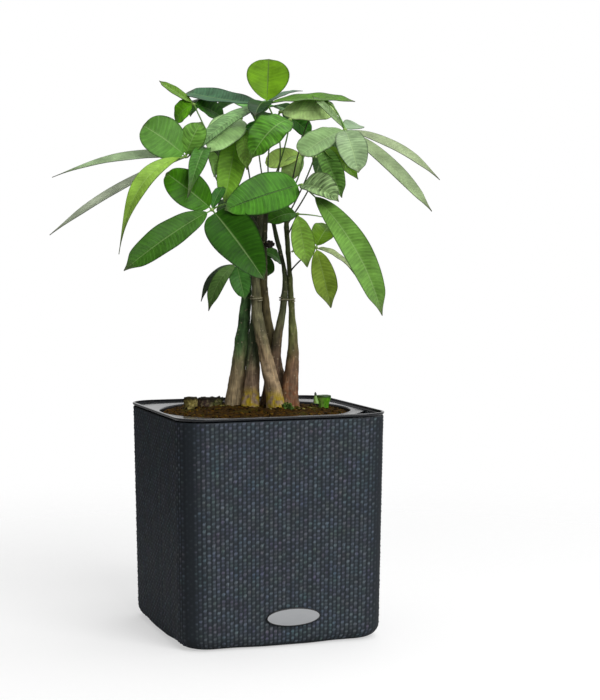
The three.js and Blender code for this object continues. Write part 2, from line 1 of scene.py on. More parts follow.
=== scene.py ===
"""A potted money tree: a square woven planter with a glossy liner, soil, tied stems and palmate leaves."""
from contextlib import contextmanager
from math import atan2, cos, exp, hypot, pi, radians, sin, tau
from random import Random

import bpy
from mathutils import Matrix, Vector, noise


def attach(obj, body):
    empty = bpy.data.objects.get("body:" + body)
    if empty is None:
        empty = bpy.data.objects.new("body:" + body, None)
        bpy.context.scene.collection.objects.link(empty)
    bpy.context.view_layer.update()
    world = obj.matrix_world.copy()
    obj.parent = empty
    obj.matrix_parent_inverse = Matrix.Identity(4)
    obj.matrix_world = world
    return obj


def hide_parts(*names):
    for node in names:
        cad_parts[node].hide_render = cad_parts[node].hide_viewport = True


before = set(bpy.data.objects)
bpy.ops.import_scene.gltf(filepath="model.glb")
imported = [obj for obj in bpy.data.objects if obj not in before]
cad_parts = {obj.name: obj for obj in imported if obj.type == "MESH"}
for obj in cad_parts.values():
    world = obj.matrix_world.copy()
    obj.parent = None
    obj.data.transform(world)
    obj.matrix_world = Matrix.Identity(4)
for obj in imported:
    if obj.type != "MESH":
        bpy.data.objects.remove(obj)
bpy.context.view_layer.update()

bl_info = {
    "name": "Potted money tree",
    "version": (1, 0, 0),
    "blender": (4, 5, 0),
    "location": "3D View > Sidebar > Money Tree",
    "description": "Dresses the packed planter, soil, stems and leaves with finished pieces and a studio",
    "category": "Object",
}

MM = 0.001

# ---- the planter's dimensions, in millimetres ----
POT_HALF = 70.0
POT_HEIGHT = 146.8
POT_TAPER = 0.968
POT_BASE_ROUND = 8.6
POT_WALL = 3.0
POT_FLOOR = 4.0
POT_TOP = 144.9
PLAN_CORNER = 18.0
SIDE_BASE_ROUND = 5.6
RIM_HALF = 70.6
RIM_BOTTOM = 145.35
RIM_TOP = 147.65
RIM_WIDTH = 1.6
RIM_ROUND = 0.6
RIM_INNER_ROUND = 0.35
FLANGE = 145.75
TUB_RADIUS = 63.5
TUB_FLOOR_RADIUS = 56.0
TUB_FLOOR = 42.0
TUB_WALL = 1.8
HOLE_OUTSIDE = 67.6
HOLE_INSIDE = 43.5
HOLE_ARC = 72.8
DRAIN_RADIUS = 1.7
DRAIN_CIRCLE = 38.0
BADGE_AT = (3.2, 19.0)
BADGE_SIZE = (36.4, 12.0)
BADGE_GAP = 0.3
# distance from the planter's axis and height of the mound
SOIL_PROFILE = ((0, 148.0), (22, 147.6), (36, 146.4), (52, 144.9), (61.5, 143.7), (62.8, 142.5))
SOIL_BOTTOM = 42.3
CROWN_TURN = radians(-17.84)


# ---- small helpers ----
def linear(hex_colour):
    """The linear colour of an sRGB hex value."""
    shares = [int(hex_colour[k:k + 2], 16) / 255 for k in (0, 2, 4)]
    return tuple(c / 12.92 if c <= 0.04045 else ((c + 0.055) / 1.055) ** 2.4 for c in shares)


def solid_colour(hex_colour):
    return (*linear(hex_colour), 1.0)


def mixed(first, second, share):
    return tuple(a + (b - a) * share for a, b in zip(first, second))


def eased(value, low, high):
    """0 below low, 1 above high and a smooth step between."""
    share = min(1.0, max(0.0, (value - low) / (high - low)))
    return share * share * (3 - 2 * share)


def in_crown(x, y, z):
    """Puts a point of the crown's frame (x to the photograph's right, y away), in mm, in the part's frame."""
    turn = Matrix.Rotation(CROWN_TURN, 3, "Z")
    return turn @ Vector((x, y, z)) * MM


def settled(piece, *replaced, slot=None):
    """Rides the finished piece on the part's one body and hides the nodes it stands for."""
    if replaced:
        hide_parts(*replaced)
    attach(piece, "root")
    return piece


def only(*pieces):
    """Selects these pieces and nothing else."""
    bpy.ops.object.select_all(action="DESELECT")
    for piece in pieces:
        piece.select_set(True)
    bpy.context.view_layer.objects.active = pieces[0]


def started(primitive, **settings):
    """Adds a primitive with nothing else selected."""
    bpy.ops.object.select_all(action="DESELECT")
    primitive(**settings)
    return bpy.context.object


@contextmanager
def edited(piece):
    """Edit mode on the whole piece, which leaves every face turned outwards."""
    only(piece)
    bpy.ops.object.mode_set(mode="EDIT")
    bpy.ops.mesh.select_all(action="SELECT")
    yield
    bpy.ops.mesh.select_all(action="SELECT")
    bpy.ops.mesh.normals_make_consistent(inside=False)
    bpy.ops.object.mode_set(mode="OBJECT")


def sheet(name, columns, rows, place, values=None, close=True):
    """A grid whose vertex at (column, row) lies where place says. values are point attributes by name, each a
    function that gives a number or a colour. close merges the seam and closes what is open."""
    piece = started(bpy.ops.mesh.primitive_grid_add, x_subdivisions=columns, y_subdivisions=rows, size=1,
                    calc_uvs=True)
    piece.name = piece.data.name = name
    mesh = piece.data
    cells = [(round((v.co.x + 0.5) * columns), round((v.co.y + 0.5) * rows)) for v in mesh.vertices]
    for vertex, cell in zip(mesh.vertices, cells):
        vertex.co = place(*cell)
    for label, value in (values or {}).items():
        found = [value(*cell) for cell in cells]
        if isinstance(found[0], tuple):
            paint = mesh.color_attributes.new(label, "FLOAT_COLOR", "POINT")
            paint.data.foreach_set("color", [part for colour in found for part in colour])
        else:
            paint = mesh.attributes.new(label, "FLOAT", "POINT")
            paint.data.foreach_set("value", found)
    if close:
        with edited(piece):
            bpy.ops.mesh.remove_doubles(threshold=2e-6)
            bpy.ops.mesh.fill_holes(sides=0)
    else:
        mesh.update()
    return piece


def joined(name, pieces):
    """One mesh of several."""
    only(*pieces)
    if len(pieces) > 1:
        bpy.ops.object.join()
    piece = bpy.context.object
    piece.name = piece.data.name = name
    return piece


def smoothed(piece, angle=None):
    """Smooth shading, everywhere or only where faces meet at less than an angle in degrees."""
    only(piece)
    if angle is None:
        bpy.ops.object.shade_smooth()
    else:
        bpy.ops.object.shade_smooth_by_angle(angle=radians(angle))
    return piece


def dressed(piece, look, angle=None):
    """Gives the piece its material and smooths it."""
    piece.data.materials.append(look)
    return smoothed(piece, angle)


def tinted(piece, hex_colour):
    """Gives every point of the piece one tint."""
    paint = piece.data.color_attributes.new("tint", "FLOAT_COLOR", "POINT")
    paint.data.foreach_set("color", [*linear(hex_colour), 1.0] * len(piece.data.vertices))
    return piece


def tube(name, path, radius, sides, values=None):
    """A closed tube round a path in metres. radius takes the share of the way along and the angle round."""
    runs = [(path[min(k + 1, len(path) - 1)] - path[max(k - 1, 0)]).normalized() for k in range(len(path))]
    across = runs[0].orthogonal().normalized()
    frames = []
    for run in runs:
        across = (across - run * across.dot(run)).normalized()
        frames.append((across, run.cross(across)))
    last = len(path) - 1

    def place(column, row):
        angle = tau * column / sides
        first, second = frames[row]
        return path[row] + (first * cos(angle) + second * sin(angle)) * radius(row / last, angle)

    return sheet(name, sides, last, place, values)


def bezier(a, b, c, t):
    return a * (1 - t) ** 2 + b * 2 * t * (1 - t) + c * t * t


# ---- materials ----
def add(tree, kind, links=None, **settings):
    """Adds one node with its settings; links takes a socket's name or number to a value or to another node's
    output."""
    made = tree.nodes.new(kind)
    for setting, value in settings.items():
        setattr(made, setting, value)
    for socket, value in (links or {}).items():
        if isinstance(value, bpy.types.NodeSocket):
            tree.links.new(value, made.inputs[socket])
        else:
            made.inputs[socket].default_value = value
    return made


def blank_material(name):
    """A material with an empty node tree, and that tree."""
    material = bpy.data.materials.new(name)
    material.use_nodes = True
    material.node_tree.nodes.clear()
    return material, material.node_tree


def finish_material(material, colour, rough, relief=None, sunk=False, **sockets):
    """The surface shader. rough is a number, or a pattern with the roughness at its 0 and at its 1. relief is
    a pattern, its strength and its depth in millimetres, and sunk turns it over. An underscore in a socket's
    name stands for a space."""
    tree = material.node_tree
    links = {"Base Color": colour, "Roughness": rough}
    if isinstance(rough, tuple):
        pattern, low, high = rough
        level = add(tree, "ShaderNodeMapRange", {"Value": pattern, "To Min": low, "To Max": high})
        links["Roughness"] = level.outputs[0]
    if relief:
        pattern, strength, depth = relief
        bump = add(tree, "ShaderNodeBump", {"Height": pattern, "Strength": strength, "Distance": depth * MM},
                   invert=sunk)
        links["Normal"] = bump.outputs[0]
    links.update({label.replace("_", " "): value for label, value in sockets.items()})
    shader = add(tree, "ShaderNodeBsdfPrincipled", links)
    add(tree, "ShaderNodeOutputMaterial", {"Surface": shader.outputs["BSDF"]})
    return material


def grain(tree, scale, detail, rough=0.5, on="Object"):
    """A noise pattern on the piece's own coordinates, with three scales where its grains are drawn out."""
    spot = add(tree, "ShaderNodeTexCoord").outputs[on]
    if isinstance(scale, tuple):
        spot = add(tree, "ShaderNodeMapping", {"Vector": spot, "Scale": scale}).outputs[0]
        scale = 1.0
    return add(tree, "ShaderNodeTexNoise", {"Vector": spot, "Scale": scale, "Detail": detail,
                                            "Roughness": rough}).outputs["Fac"]


def shaded(tree, colour, pattern, low, high, reach=(0.0, 1.0)):
    """The colour times low to high, as the pattern goes from one end of its reach to the other."""
    level = add(tree, "ShaderNodeMapRange", {"Value": pattern, "From Min": reach[0], "From Max": reach[1],
                                             "To Min": low, "To Max": high}).outputs[0]
    return add(tree, "ShaderNodeVectorMath", {0: colour, "Scale": level}, operation="SCALE").outputs[0]


# the middle of a noise pattern, where nearly all of its values lie
MIDDLE = (0.3, 0.7)


def woven_polypropylene(settings):
    """Polypropylene moulded as a plain weave: matt and blue-black, with painted shade that darkens it from
    each crest down to black in the gaps.
    """
    material, tree = blank_material("woven_polypropylene")
    crest = add(tree, "ShaderNodeAttribute", attribute_name="crest").outputs["Fac"]
    run = add(tree, "ShaderNodeAttribute", attribute_name="run").outputs["Fac"]
    # lengthwise lines of a strand, 0.4 mm apart on the real one and drawn 1 mm apart here so that they show
    level_lines = grain(tree, (150, 170, 1), 2.0, on="UV")
    upright_lines = grain(tree, (520, 60, 1), 2.0, on="UV")
    lines = add(tree, "ShaderNodeMix", {"Factor": run, 2: upright_lines, 3: level_lines}).outputs[0]
    # soft colour drift from strand to strand, about 25 mm across
    drift = grain(tree, 40.0, 3.0)
    plain = add(tree, "ShaderNodeMix", {"Factor": drift, 6: (*settings.strand_colour, 1),
                                        7: (*settings.strand_blue, 1)}, data_type="RGBA").outputs[2]
    # the colour also strays towards green, blue or plum over about 8 mm, and in tone from strand to strand
    spot = add(tree, "ShaderNodeTexCoord").outputs["Object"]
    hues = add(tree, "ShaderNodeTexNoise", {"Vector": spot, "Scale": 125.0, "Detail": 2.0}).outputs["Color"]
    hue = add(tree, "ShaderNodeVectorMath", {0: hues, 1: (0.7, 0.7, 0.7), 2: (0.65, 0.65, 0.65)},
              operation="MULTIPLY_ADD").outputs[0]
    hued = add(tree, "ShaderNodeVectorMath", {0: plain, 1: hue}, operation="MULTIPLY").outputs[0]
    toned = shaded(tree, hued, grain(tree, (150, 11, 1), 3.0, 0.7, on="UV"), 0.7, 1.3, MIDDLE)
    strand = shaded(tree, toned, lines, 0.7, 1.3, MIDDLE)
    # painted shade: the colour falls from the strand's to the gap colour as the crest sinks, so the gaps, the
    # lower level strands, the bare rows and the middle of each corner are painted dark
    lift = add(tree, "ShaderNodeMapRange", {"Value": crest, "From Min": 0.05, "From Max": 0.95},
               interpolation_type="SMOOTHSTEP").outputs[0]
    colour = add(tree, "ShaderNodeMix", {"Factor": lift, 6: (*settings.gap_shade_colour, 1), 7: strand},
                 data_type="RGBA").outputs[2]
    return finish_material(material, colour, (lines, 0.46, 0.68), (lines, 0.35, 0.12), IOR=1.49,
                           Specular_IOR_Level=0.15)


def polished_polypropylene(settings):
    """Injection-moulded liner plastic: dark grey, smooth and glossy, with a faint haze of flow marks and dust
    specks."""
    material, tree = blank_material("polished_polypropylene")
    # flow marks about 12 mm across
    haze = grain(tree, 85.0, 4.0, 0.6)
    # specks of dust and soil, half a millimetre across
    specks = grain(tree, 1900.0, 1.0)
    dust = add(tree, "ShaderNodeMapRange", {"Value": specks, "From Min": 0.66, "From Max": 0.74}).outputs[0]
    colour = add(tree, "ShaderNodeMix", {"Factor": dust, 6: (*settings.liner_colour, 1),
                                         7: solid_colour("5A5046")}, data_type="RGBA").outputs[2]
    return finish_material(material, colour, (haze, 0.12, 0.2), (haze, 0.06, 0.4), IOR=1.49)


def satin_nickel(settings):
    """Nickel-plated brass, brushed along its length and satin: pale silver with soft horizontal lines."""
    material, tree = blank_material("satin_nickel")
    # brushing lines 0.15 mm apart and several millimetres long
    lines = grain(tree, (160, 160, 6500), 3.0)
    colour = add(tree, "ShaderNodeMix", {"Factor": lines, 6: (*settings.plate_colour, 1),
                                         7: solid_colour("C4C7CB")}, data_type="RGBA").outputs[2]
    return finish_material(material, colour, (lines, 0.26, 0.44), (lines, 0.2, 0.03), Metallic=0.85)


def black_enamel():
    """A thin line of black stove enamel round the plate: dark and half gloss."""
    material, tree = blank_material("black_enamel")
    # orange peel half a millimetre across
    peel = grain(tree, 2200.0, 1.0)
    colour = add(tree, "ShaderNodeMix", {"Factor": peel, 6: solid_colour("101113"),
                                         7: solid_colour("1C1E21")}, data_type="RGBA").outputs[2]
    return finish_material(material, colour, 0.35, (peel, 0.15, 0.05))


def potting_soil(settings):
    """Damp peat and bark potting mix: dark brown grains in many tones, with a film of moss in patches."""
    material, tree = blank_material("potting_soil")
    spot = add(tree, "ShaderNodeTexCoord").outputs["Object"]
    # grains about 1.5 mm across
    grains = add(tree, "ShaderNodeTexVoronoi", {"Vector": spot, "Scale": 650.0}).outputs["Color"]
    tone = add(tree, "ShaderNodeSeparateColor", {"Color": grains}).outputs[0]
    earth = add(tree, "ShaderNodeValToRGB", {"Fac": tone})
    stops = earth.color_ramp.elements
    stops[0].color = (*settings.soil_dark, 1)
    stops[1].color = (*settings.soil_light, 1)
    stops.new(0.55).color = solid_colour("372405")
    # patches of moss about 16 mm across
    patch = grain(tree, 62.0, 5.0, 0.62)
    mossy = add(tree, "ShaderNodeMapRange", {"Value": patch, "From Min": 0.52, "From Max": 0.66,
                                             "To Max": 0.75}, interpolation_type="SMOOTHSTEP").outputs[0]
    fine = grain(tree, 900.0, 3.0)
    moss = add(tree, "ShaderNodeMix", {"Factor": fine, 6: solid_colour("2A2608"), 7: solid_colour("4A4616")},
               data_type="RGBA").outputs[2]
    colour = add(tree, "ShaderNodeMix", {"Factor": mossy, 6: earth.outputs["Color"], 7: moss},
                 data_type="RGBA").outputs[2]
    rise = add(tree, "ShaderNodeMath", {0: fine, 1: tone}, operation="ADD").outputs[0]
    return finish_material(material, colour, 0.92, (rise, 0.8, 0.6), Specular_IOR_Level=0.08)


def bark_crumbs():
    """Loose crumbs of peat, bark and moss: each crumb has its own tone, dull and fibrous."""
    material, tree = blank_material("bark_crumbs")
    tint = add(tree, "ShaderNodeAttribute", attribute_name="tint").outputs["Color"]
    # fibres 0.4 mm apart
    fibres = grain(tree, 2400.0, 2.0)
    return finish_material(material, shaded(tree, tint, fibres, 0.6, 1.4), 0.9, (fibres, 0.6, 0.2),
                           Specular_IOR_Level=0.1)


def young_bark():
    """Thin bark of a young money tree: brown and corky at the foot, green-brown above, streaked, freckled."""
    material, tree = blank_material("young_bark")
    tint = add(tree, "ShaderNodeAttribute", attribute_name="tint").outputs["Color"]
    # upright streaks about 1 mm apart and 8 mm long
    streaks = grain(tree, (1000, 1000, 125), 4.0, 0.6)
    streaked_bark = shaded(tree, tint, streaks, 0.55, 1.45, MIDDLE)
    # pale breathing pores, 0.6 mm across and about 3 mm apart
    spot = add(tree, "ShaderNodeTexCoord").outputs["Object"]
    pores = add(tree, "ShaderNodeTexVoronoi", {"Vector": spot, "Scale": 330.0}).outputs["Distance"]
    pale = add(tree, "ShaderNodeMapRange", {"Value": pores, "From Min": 0.24, "From Max": 0.14,
                                            "To Max": 0.5}).outputs[0]
    colour = add(tree, "ShaderNodeMix", {"Factor": pale, 6: streaked_bark, 7: solid_colour("A79A7C")},
                 data_type="RGBA").outputs[2]
    # wrinkles round the stem, about 1.2 mm apart
    wrinkles = grain(tree, (180, 180, 800), 3.0)
    rise = add(tree, "ShaderNodeMath", {0: streaks, 1: wrinkles}, operation="ADD").outputs[0]
    return finish_material(material, colour, 0.72, (rise, 0.7, 0.5), Specular_IOR_Level=0.35)


def jute_twine(settings):
    """Two-ply jute garden twine: dull straw colour, its fine fibres darker and lighter side by side."""
    material, tree = blank_material("jute_twine")
    # fibres 0.2 mm apart
    fibres = grain(tree, 5200.0, 2.0)
    colour = add(tree, "ShaderNodeMix", {"Factor": fibres, 6: solid_colour("6E6850"),
                                         7: (*settings.twine_colour, 1)}, data_type="RGBA").outputs[2]
    return finish_material(material, colour, 0.9, (fibres, 0.6, 0.1), Specular_IOR_Level=0.3)


def weathered_wood():
    """Cut and weathered stem wood: dull ochre with dark cracks and a crust of moss and soil."""
    material, tree = blank_material("weathered_wood")
    tint = add(tree, "ShaderNodeAttribute", attribute_name="tint").outputs["Color"]
    # crust of grains about 1 mm across
    crust = grain(tree, 950.0, 4.0, 0.65)
    colour = shaded(tree, tint, crust, 0.3, 1.6, (0.32, 0.68))
    return finish_material(material, colour, 0.88, (crust, 0.9, 0.6), Specular_IOR_Level=0.25)


def sappy_shoot():
    """A fresh green stem cut short: juicy, smooth and bright, with faint upright ribs."""
    material, tree = blank_material("sappy_shoot")
    tint = add(tree, "ShaderNodeAttribute", attribute_name="tint").outputs["Color"]
    # upright ribs about 0.8 mm apart
    ribs = grain(tree, (1250, 1250, 90), 2.0)
    return finish_material(material, shaded(tree, tint, ribs, 0.7, 1.3), 0.42, (ribs, 0.4, 0.3),
                           Subsurface_Weight=0.15, Subsurface_Radius=(0.001, 0.002, 0.0005),
                           Subsurface_Scale=1.0)


def vein_pattern(tree, settings):
    """Distance from the midrib, streaks along the side veins and share of midrib at a point of a blade, from
    its UV map: u runs across and v along at 100 mm a unit."""
    spot = add(tree, "ShaderNodeTexCoord").outputs["UV"]
    parts = add(tree, "ShaderNodeSeparateXYZ", {0: spot})
    signed = add(tree, "ShaderNodeMath", {0: parts.outputs[0], 1: 2.0, 2: -1.0},
                 operation="MULTIPLY_ADD").outputs[0]
    side = add(tree, "ShaderNodeMath", {0: signed}, operation="ABSOLUTE").outputs[0]
    # side veins leave the midrib every settings.vein_spacing and sweep towards the tip
    swept = add(tree, "ShaderNodeMath", {0: side, 1: 1.3}, operation="POWER").outputs[0]
    order = add(tree, "ShaderNodeMath", {0: parts.outputs[1], 1: 0.1 / settings.vein_spacing},
                operation="MULTIPLY").outputs[0]
    phase = add(tree, "ShaderNodeMath", {0: swept, 1: -1.8, 2: order}, operation="MULTIPLY_ADD").outputs[0]
    # one unit of this texture is one vein, so its grain lies along the veins and no two of them are alike
    along = add(tree, "ShaderNodeCombineXYZ", {0: phase, 1: signed}).outputs[0]
    veining = add(tree, "ShaderNodeTexNoise", {"Vector": along, "Scale": 1.15, "Detail": 2.0,
                                               "Roughness": 0.55}).outputs["Fac"]
    near = add(tree, "ShaderNodeMath", {0: phase, 1: 0.5}, operation="PINGPONG").outputs[0]
    line = add(tree, "ShaderNodeMapRange", {"Value": near, "From Min": 0.3, "From Max": 0.0, "To Min": -0.05,
                                            "To Max": 0.14}, interpolation_type="SMOOTHSTEP").outputs[0]
    streaks = add(tree, "ShaderNodeMath", {0: veining, 1: line}, operation="ADD").outputs[0]
    rib = add(tree, "ShaderNodeMapRange", {"Value": side, "From Min": 0.055, "From Max": 0.015},
              interpolation_type="SMOOTHSTEP").outputs[0]
    return side, streaks, rib


def streaked(tree, colour, streaks, strength):
    """The colour made lighter and darker along the veins."""
    level = add(tree, "ShaderNodeMath", {0: streaks, 1: -0.5}, operation="ADD").outputs[0]
    swing = add(tree, "ShaderNodeMath", {0: level, 1: strength}, operation="MULTIPLY").outputs[0]
    shade = add(tree, "ShaderNodeMath", {0: swing, 1: 4.0, 2: 1.0}, operation="MULTIPLY_ADD").outputs[0]
    safe = add(tree, "ShaderNodeMath", {0: shade, 1: 0.15}, operation="MAXIMUM").outputs[0]
    return add(tree, "ShaderNodeVectorMath", {0: colour, "Scale": safe}, operation="SCALE").outputs[0]


def edged(tree, colour, green, side, darkness, strength):
    """The blade's colour with its thin margin in a darker green."""
    dark = add(tree, "ShaderNodeVectorMath", {0: green, "Scale": darkness}, operation="SCALE").outputs[0]
    edge = add(tree, "ShaderNodeMapRange", {"Value": side, "From Min": 0.9, "From Max": 0.99,
                                            "To Max": strength}).outputs[0]
    return add(tree, "ShaderNodeMix", {"Factor": edge, 6: colour, 7: dark}, data_type="RGBA").outputs[2]


def leaf_upper(settings):
    """The upper face of a money tree leaflet: waxy green with half gloss, a fine midrib, faint pinnate veins
    and a thin dark margin."""
    material, tree = blank_material("leaf_upper")
    side, streaks, rib = vein_pattern(tree, settings)
    # the tint's alpha says how dark the midrib is painted: painted shade for a midrib seen against light
    # coming through the blade
    paint = add(tree, "ShaderNodeAttribute", attribute_name="tint")
    tint, backlit_rib_shade = paint.outputs["Color"], paint.outputs["Alpha"]
    strength = add(tree, "ShaderNodeAttribute", attribute_name="vein_strength").outputs["Fac"]
    # cloudy patches about 12 mm across, with finer ones inside
    cloud = grain(tree, 85.0, 5.0, 0.6)
    green = shaded(tree, tint, cloud, 0.7, 1.3, MIDDLE)
    blade = streaked(tree, green, streaks, strength)
    pale = add(tree, "ShaderNodeMix", {"Factor": 0.22, 6: green, 7: (*settings.vein_colour, 1)},
               data_type="RGBA").outputs[2]
    dark = add(tree, "ShaderNodeVectorMath", {0: green, "Scale": 0.3}, operation="SCALE").outputs[0]
    rib_colour = add(tree, "ShaderNodeMix", {"Factor": backlit_rib_shade, 6: pale, 7: dark},
                     data_type="RGBA").outputs[2]
    ribbed = add(tree, "ShaderNodeMix", {"Factor": rib, 6: blade, 7: rib_colour}, data_type="RGBA").outputs[2]
    furrows = add(tree, "ShaderNodeMath", {0: streaks, 1: rib}, operation="MAXIMUM").outputs[0]
    return finish_material(material, edged(tree, ribbed, green, side, 0.3, 0.85), (cloud, 0.32, 0.5),
                           (furrows, 0.6, 0.4), sunk=True, IOR=1.42, Specular_IOR_Level=0.16)


def leaf_under(settings):
    """The under face of a leaflet: paler, greyer and dull, with its veins standing proud."""
    material, tree = blank_material("leaf_under")
    side, streaks, rib = vein_pattern(tree, settings)
    tint = add(tree, "ShaderNodeAttribute", attribute_name="tint").outputs["Color"]
    strength = add(tree, "ShaderNodeAttribute", attribute_name="vein_strength").outputs["Fac"]
    grey = add(tree, "ShaderNodeMix", {"Factor": 0.25, 6: tint, 7: (*settings.under_colour, 1)},
               data_type="RGBA").outputs[2]
    # fine mottling about 4 mm across
    green = shaded(tree, grey, grain(tree, 240.0, 4.0), 0.75, 1.25)
    blade = streaked(tree, green, streaks, strength)
    ribbed = add(tree, "ShaderNodeMix", {"Factor": rib, 6: blade, 7: (*settings.vein_colour, 1)},
                 data_type="RGBA").outputs[2]
    ridges = add(tree, "ShaderNodeMath", {0: streaks, 1: rib}, operation="MAXIMUM").outputs[0]
    return finish_material(material, edged(tree, ribbed, green, side, 0.35, 0.8), 0.6, (ridges, 0.6, 0.4),
                           IOR=1.42, Specular_IOR_Level=0.2)


def leaf_stalk():
    """Leaf stalks and ribs: smooth and half gloss, brown-green near the stem and fresh green at the leaf."""
    material, tree = blank_material("leaf_stalk")
    tint = add(tree, "ShaderNodeAttribute", attribute_name="tint").outputs["Color"]
    # flecks about 1.5 mm long
    flecks = grain(tree, 650.0, 3.0)
    return finish_material(material, shaded(tree, tint, flecks, 0.65, 1.35), 0.5, (flecks, 0.3, 0.2))


def seamless_paper(settings):
    """Matt white background paper with a faint tooth, which fades out into the white surround."""
    material, tree = blank_material("seamless_paper")
    # paper tooth about 2 mm across
    tooth = grain(tree, 500.0, 2.0)
    colour = add(tree, "ShaderNodeMix", {"Factor": tooth, 6: (*settings.paper_colour, 1),
                                         7: solid_colour("C0C0C0")}, data_type="RGBA").outputs[2]
    spot = add(tree, "ShaderNodeTexCoord").outputs["Object"]
    away = add(tree, "ShaderNodeVectorMath", {0: spot}, operation="LENGTH").outputs["Value"]
    there = add(tree, "ShaderNodeMapRange", {"Value": away, "From Min": 0.75, "From Max": 0.2},
                interpolation_type="SMOOTHSTEP").outputs[0]
    seen = add(tree, "ShaderNodeLightPath").outputs["Is Camera Ray"]
    glow = add(tree, "ShaderNodeMath", {0: seen, 1: 0.5}, operation="MULTIPLY").outputs[0]
    return finish_material(material, colour, 0.95, Specular_IOR_Level=0.0, Alpha=there,
                           Emission_Color=(1, 1, 1, 1), Emission_Strength=glow)


# ---- outlines of the planter ----
def square_point(share, half, corner):
    """A point and its outward direction at a share of the way round a rounded square, from the middle of its
    right side. The last value is the angle round the corner's arc, or None on a flat."""
    flat, arc = 2 * (POT_HALF - PLAN_CORNER), pi / 2 * PLAN_CORNER
    side = flat + arc
    run = (share % 1.0) * 4 * side + flat / 2
    quarter, run = int(run // side), run % side
    reach = half - corner
    if run < flat:
        x, y, nx, ny, angle = half, (run / flat * 2 - 1) * reach, 1.0, 0.0, None
    else:
        angle = (run - flat) / arc * pi / 2
        nx, ny = cos(angle), sin(angle)
        x, y = reach + corner * nx, reach + corner * ny
    turn = quarter * pi / 2
    c, s = round(cos(turn)), round(sin(turn))
    return x * c - y * s, x * s + y * c, nx * c - ny * s, nx * s + ny * c, angle


def pot_half(z):
    """Half the tapered planter's width at a height."""
    return POT_HALF * (POT_TAPER + (1 - POT_TAPER) * z / POT_HEIGHT)


def outside_length(base_round):
    """Length of the outside wall from the rim of its base, round its bottom edge, to its top."""
    return pi / 2 * base_round + POT_TOP - base_round


def pot_profile(share, base_round):
    """Inset, height and outward slope at a share of the way up the planter's outside, from its base's rim."""
    run = share * outside_length(base_round)
    arc = pi / 2 * base_round
    if run < arc:
        angle = run / base_round
        return base_round * (1 - sin(angle)), base_round * (1 - cos(angle)), sin(angle), -cos(angle)
    return 0.0, base_round + run - arc, 1.0, 0.0


# ---- settings ----
def size_setting(name, description, default, least=0.0):
    """A length in metres."""
    return bpy.props.FloatProperty(name=name, description=description, default=default, min=least,
                                   unit="LENGTH")


def colour_setting(name, description, hex_colour):
    """A colour, shown in sRGB and kept linear."""
    return bpy.props.FloatVectorProperty(name=name, description=description, subtype="COLOR", size=3,
                                         min=0, max=1, default=linear(hex_colour))


class PlanterSettings(bpy.types.PropertyGroup):
    strands: bpy.props.IntProperty(
        name="Upright strands", description="Upright strands round the planter, an even number", default=178,
        min=20, step=2)
    row_pitch: size_setting("Row pitch", "Height of one row of the weave", 0.0023, 0.0015)
    relief: size_setting("Relief", "How far a strand stands out of the gaps", 0.00055)
    strand_colour: colour_setting("Strand", "Crest of a strand", "5C6168")
    strand_blue: colour_setting("Strand, bluer", "Crest of a bluer strand", "4C5864")
    # painted shade: the colour painted at the bottom of the gaps, where shade falls
    gap_shade_colour: colour_setting("Gap", "Bottom of the gaps between strands", "282D32")
    liner_colour: colour_setting("Liner", "Glossy insert", "202226")
    plate_colour: colour_setting("Plate", "Bare oval plate", "D6D7D8")


class SoilSettings(bpy.types.PropertyGroup):
    crumbs: bpy.props.IntProperty(name="Crumbs", description="Loose crumbs on the soil", default=620, min=0)
    crumb_size: size_setting("Crumb size", "Largest crumb", 0.0022, 0.0005)
    relief: size_setting("Relief", "Height of the lumps in the soil", 0.0011)
    soil_dark: colour_setting("Dark soil", "Darkest grains", "1E1203")
    soil_light: colour_setting("Light soil", "Lightest grains", "523808")


class StemSettings(bpy.types.PropertyGroup):
    bark_relief: size_setting("Bark relief", "Depth of the ridges in the bark", 0.00045)
    bark_dark: colour_setting("Upper stem", "Dark green that the bark turns to high up", "2C3A20")
    twine_colour: colour_setting("Twine", "Twine round the stems", "B9B293")


class LeafSettings(bpy.types.PropertyGroup):
    thickness: size_setting("Blade", "Thickness of a leaf blade", 0.0004, 0.0001)
    ripple: size_setting("Ripple", "Height of the waves along a blade's edges", 0.00035)
    vein_spacing: size_setting("Vein spacing", "Distance between side veins along the midrib", 0.0026, 0.001)
    stalk_radius: size_setting("Stalk radius", "Radius of a leaf stalk", 0.0005, 0.0002)
    vein_colour: colour_setting("Veins", "Pale veins", "B5CF8C")
    under_colour: colour_setting("Under face", "Grey-green that the under face leans to", "A3B98A")


class StudioSettings(bpy.types.PropertyGroup):
    paper_colour: colour_setting("Paper", "Floor paper", "B8B8B8")
    surround: bpy.props.FloatProperty(
        name="Surround", description="Strength of the light from all round", default=0.37, min=0)
    back_glow: bpy.props.FloatProperty(
        name="Back glow", description="Strength of the bright wall behind", default=0.5, min=0)
    key: bpy.props.FloatProperty(
        name="Key light", description="Power of the large light at the front", default=24, min=0,
        unit="POWER")
    top: bpy.props.FloatProperty(
        name="Top light", description="Power of the light overhead", default=11, min=0, unit="POWER")
    lens: bpy.props.FloatProperty(
        name="Lens", description="Camera's focal length", default=92.01, min=20, unit="CAMERA")


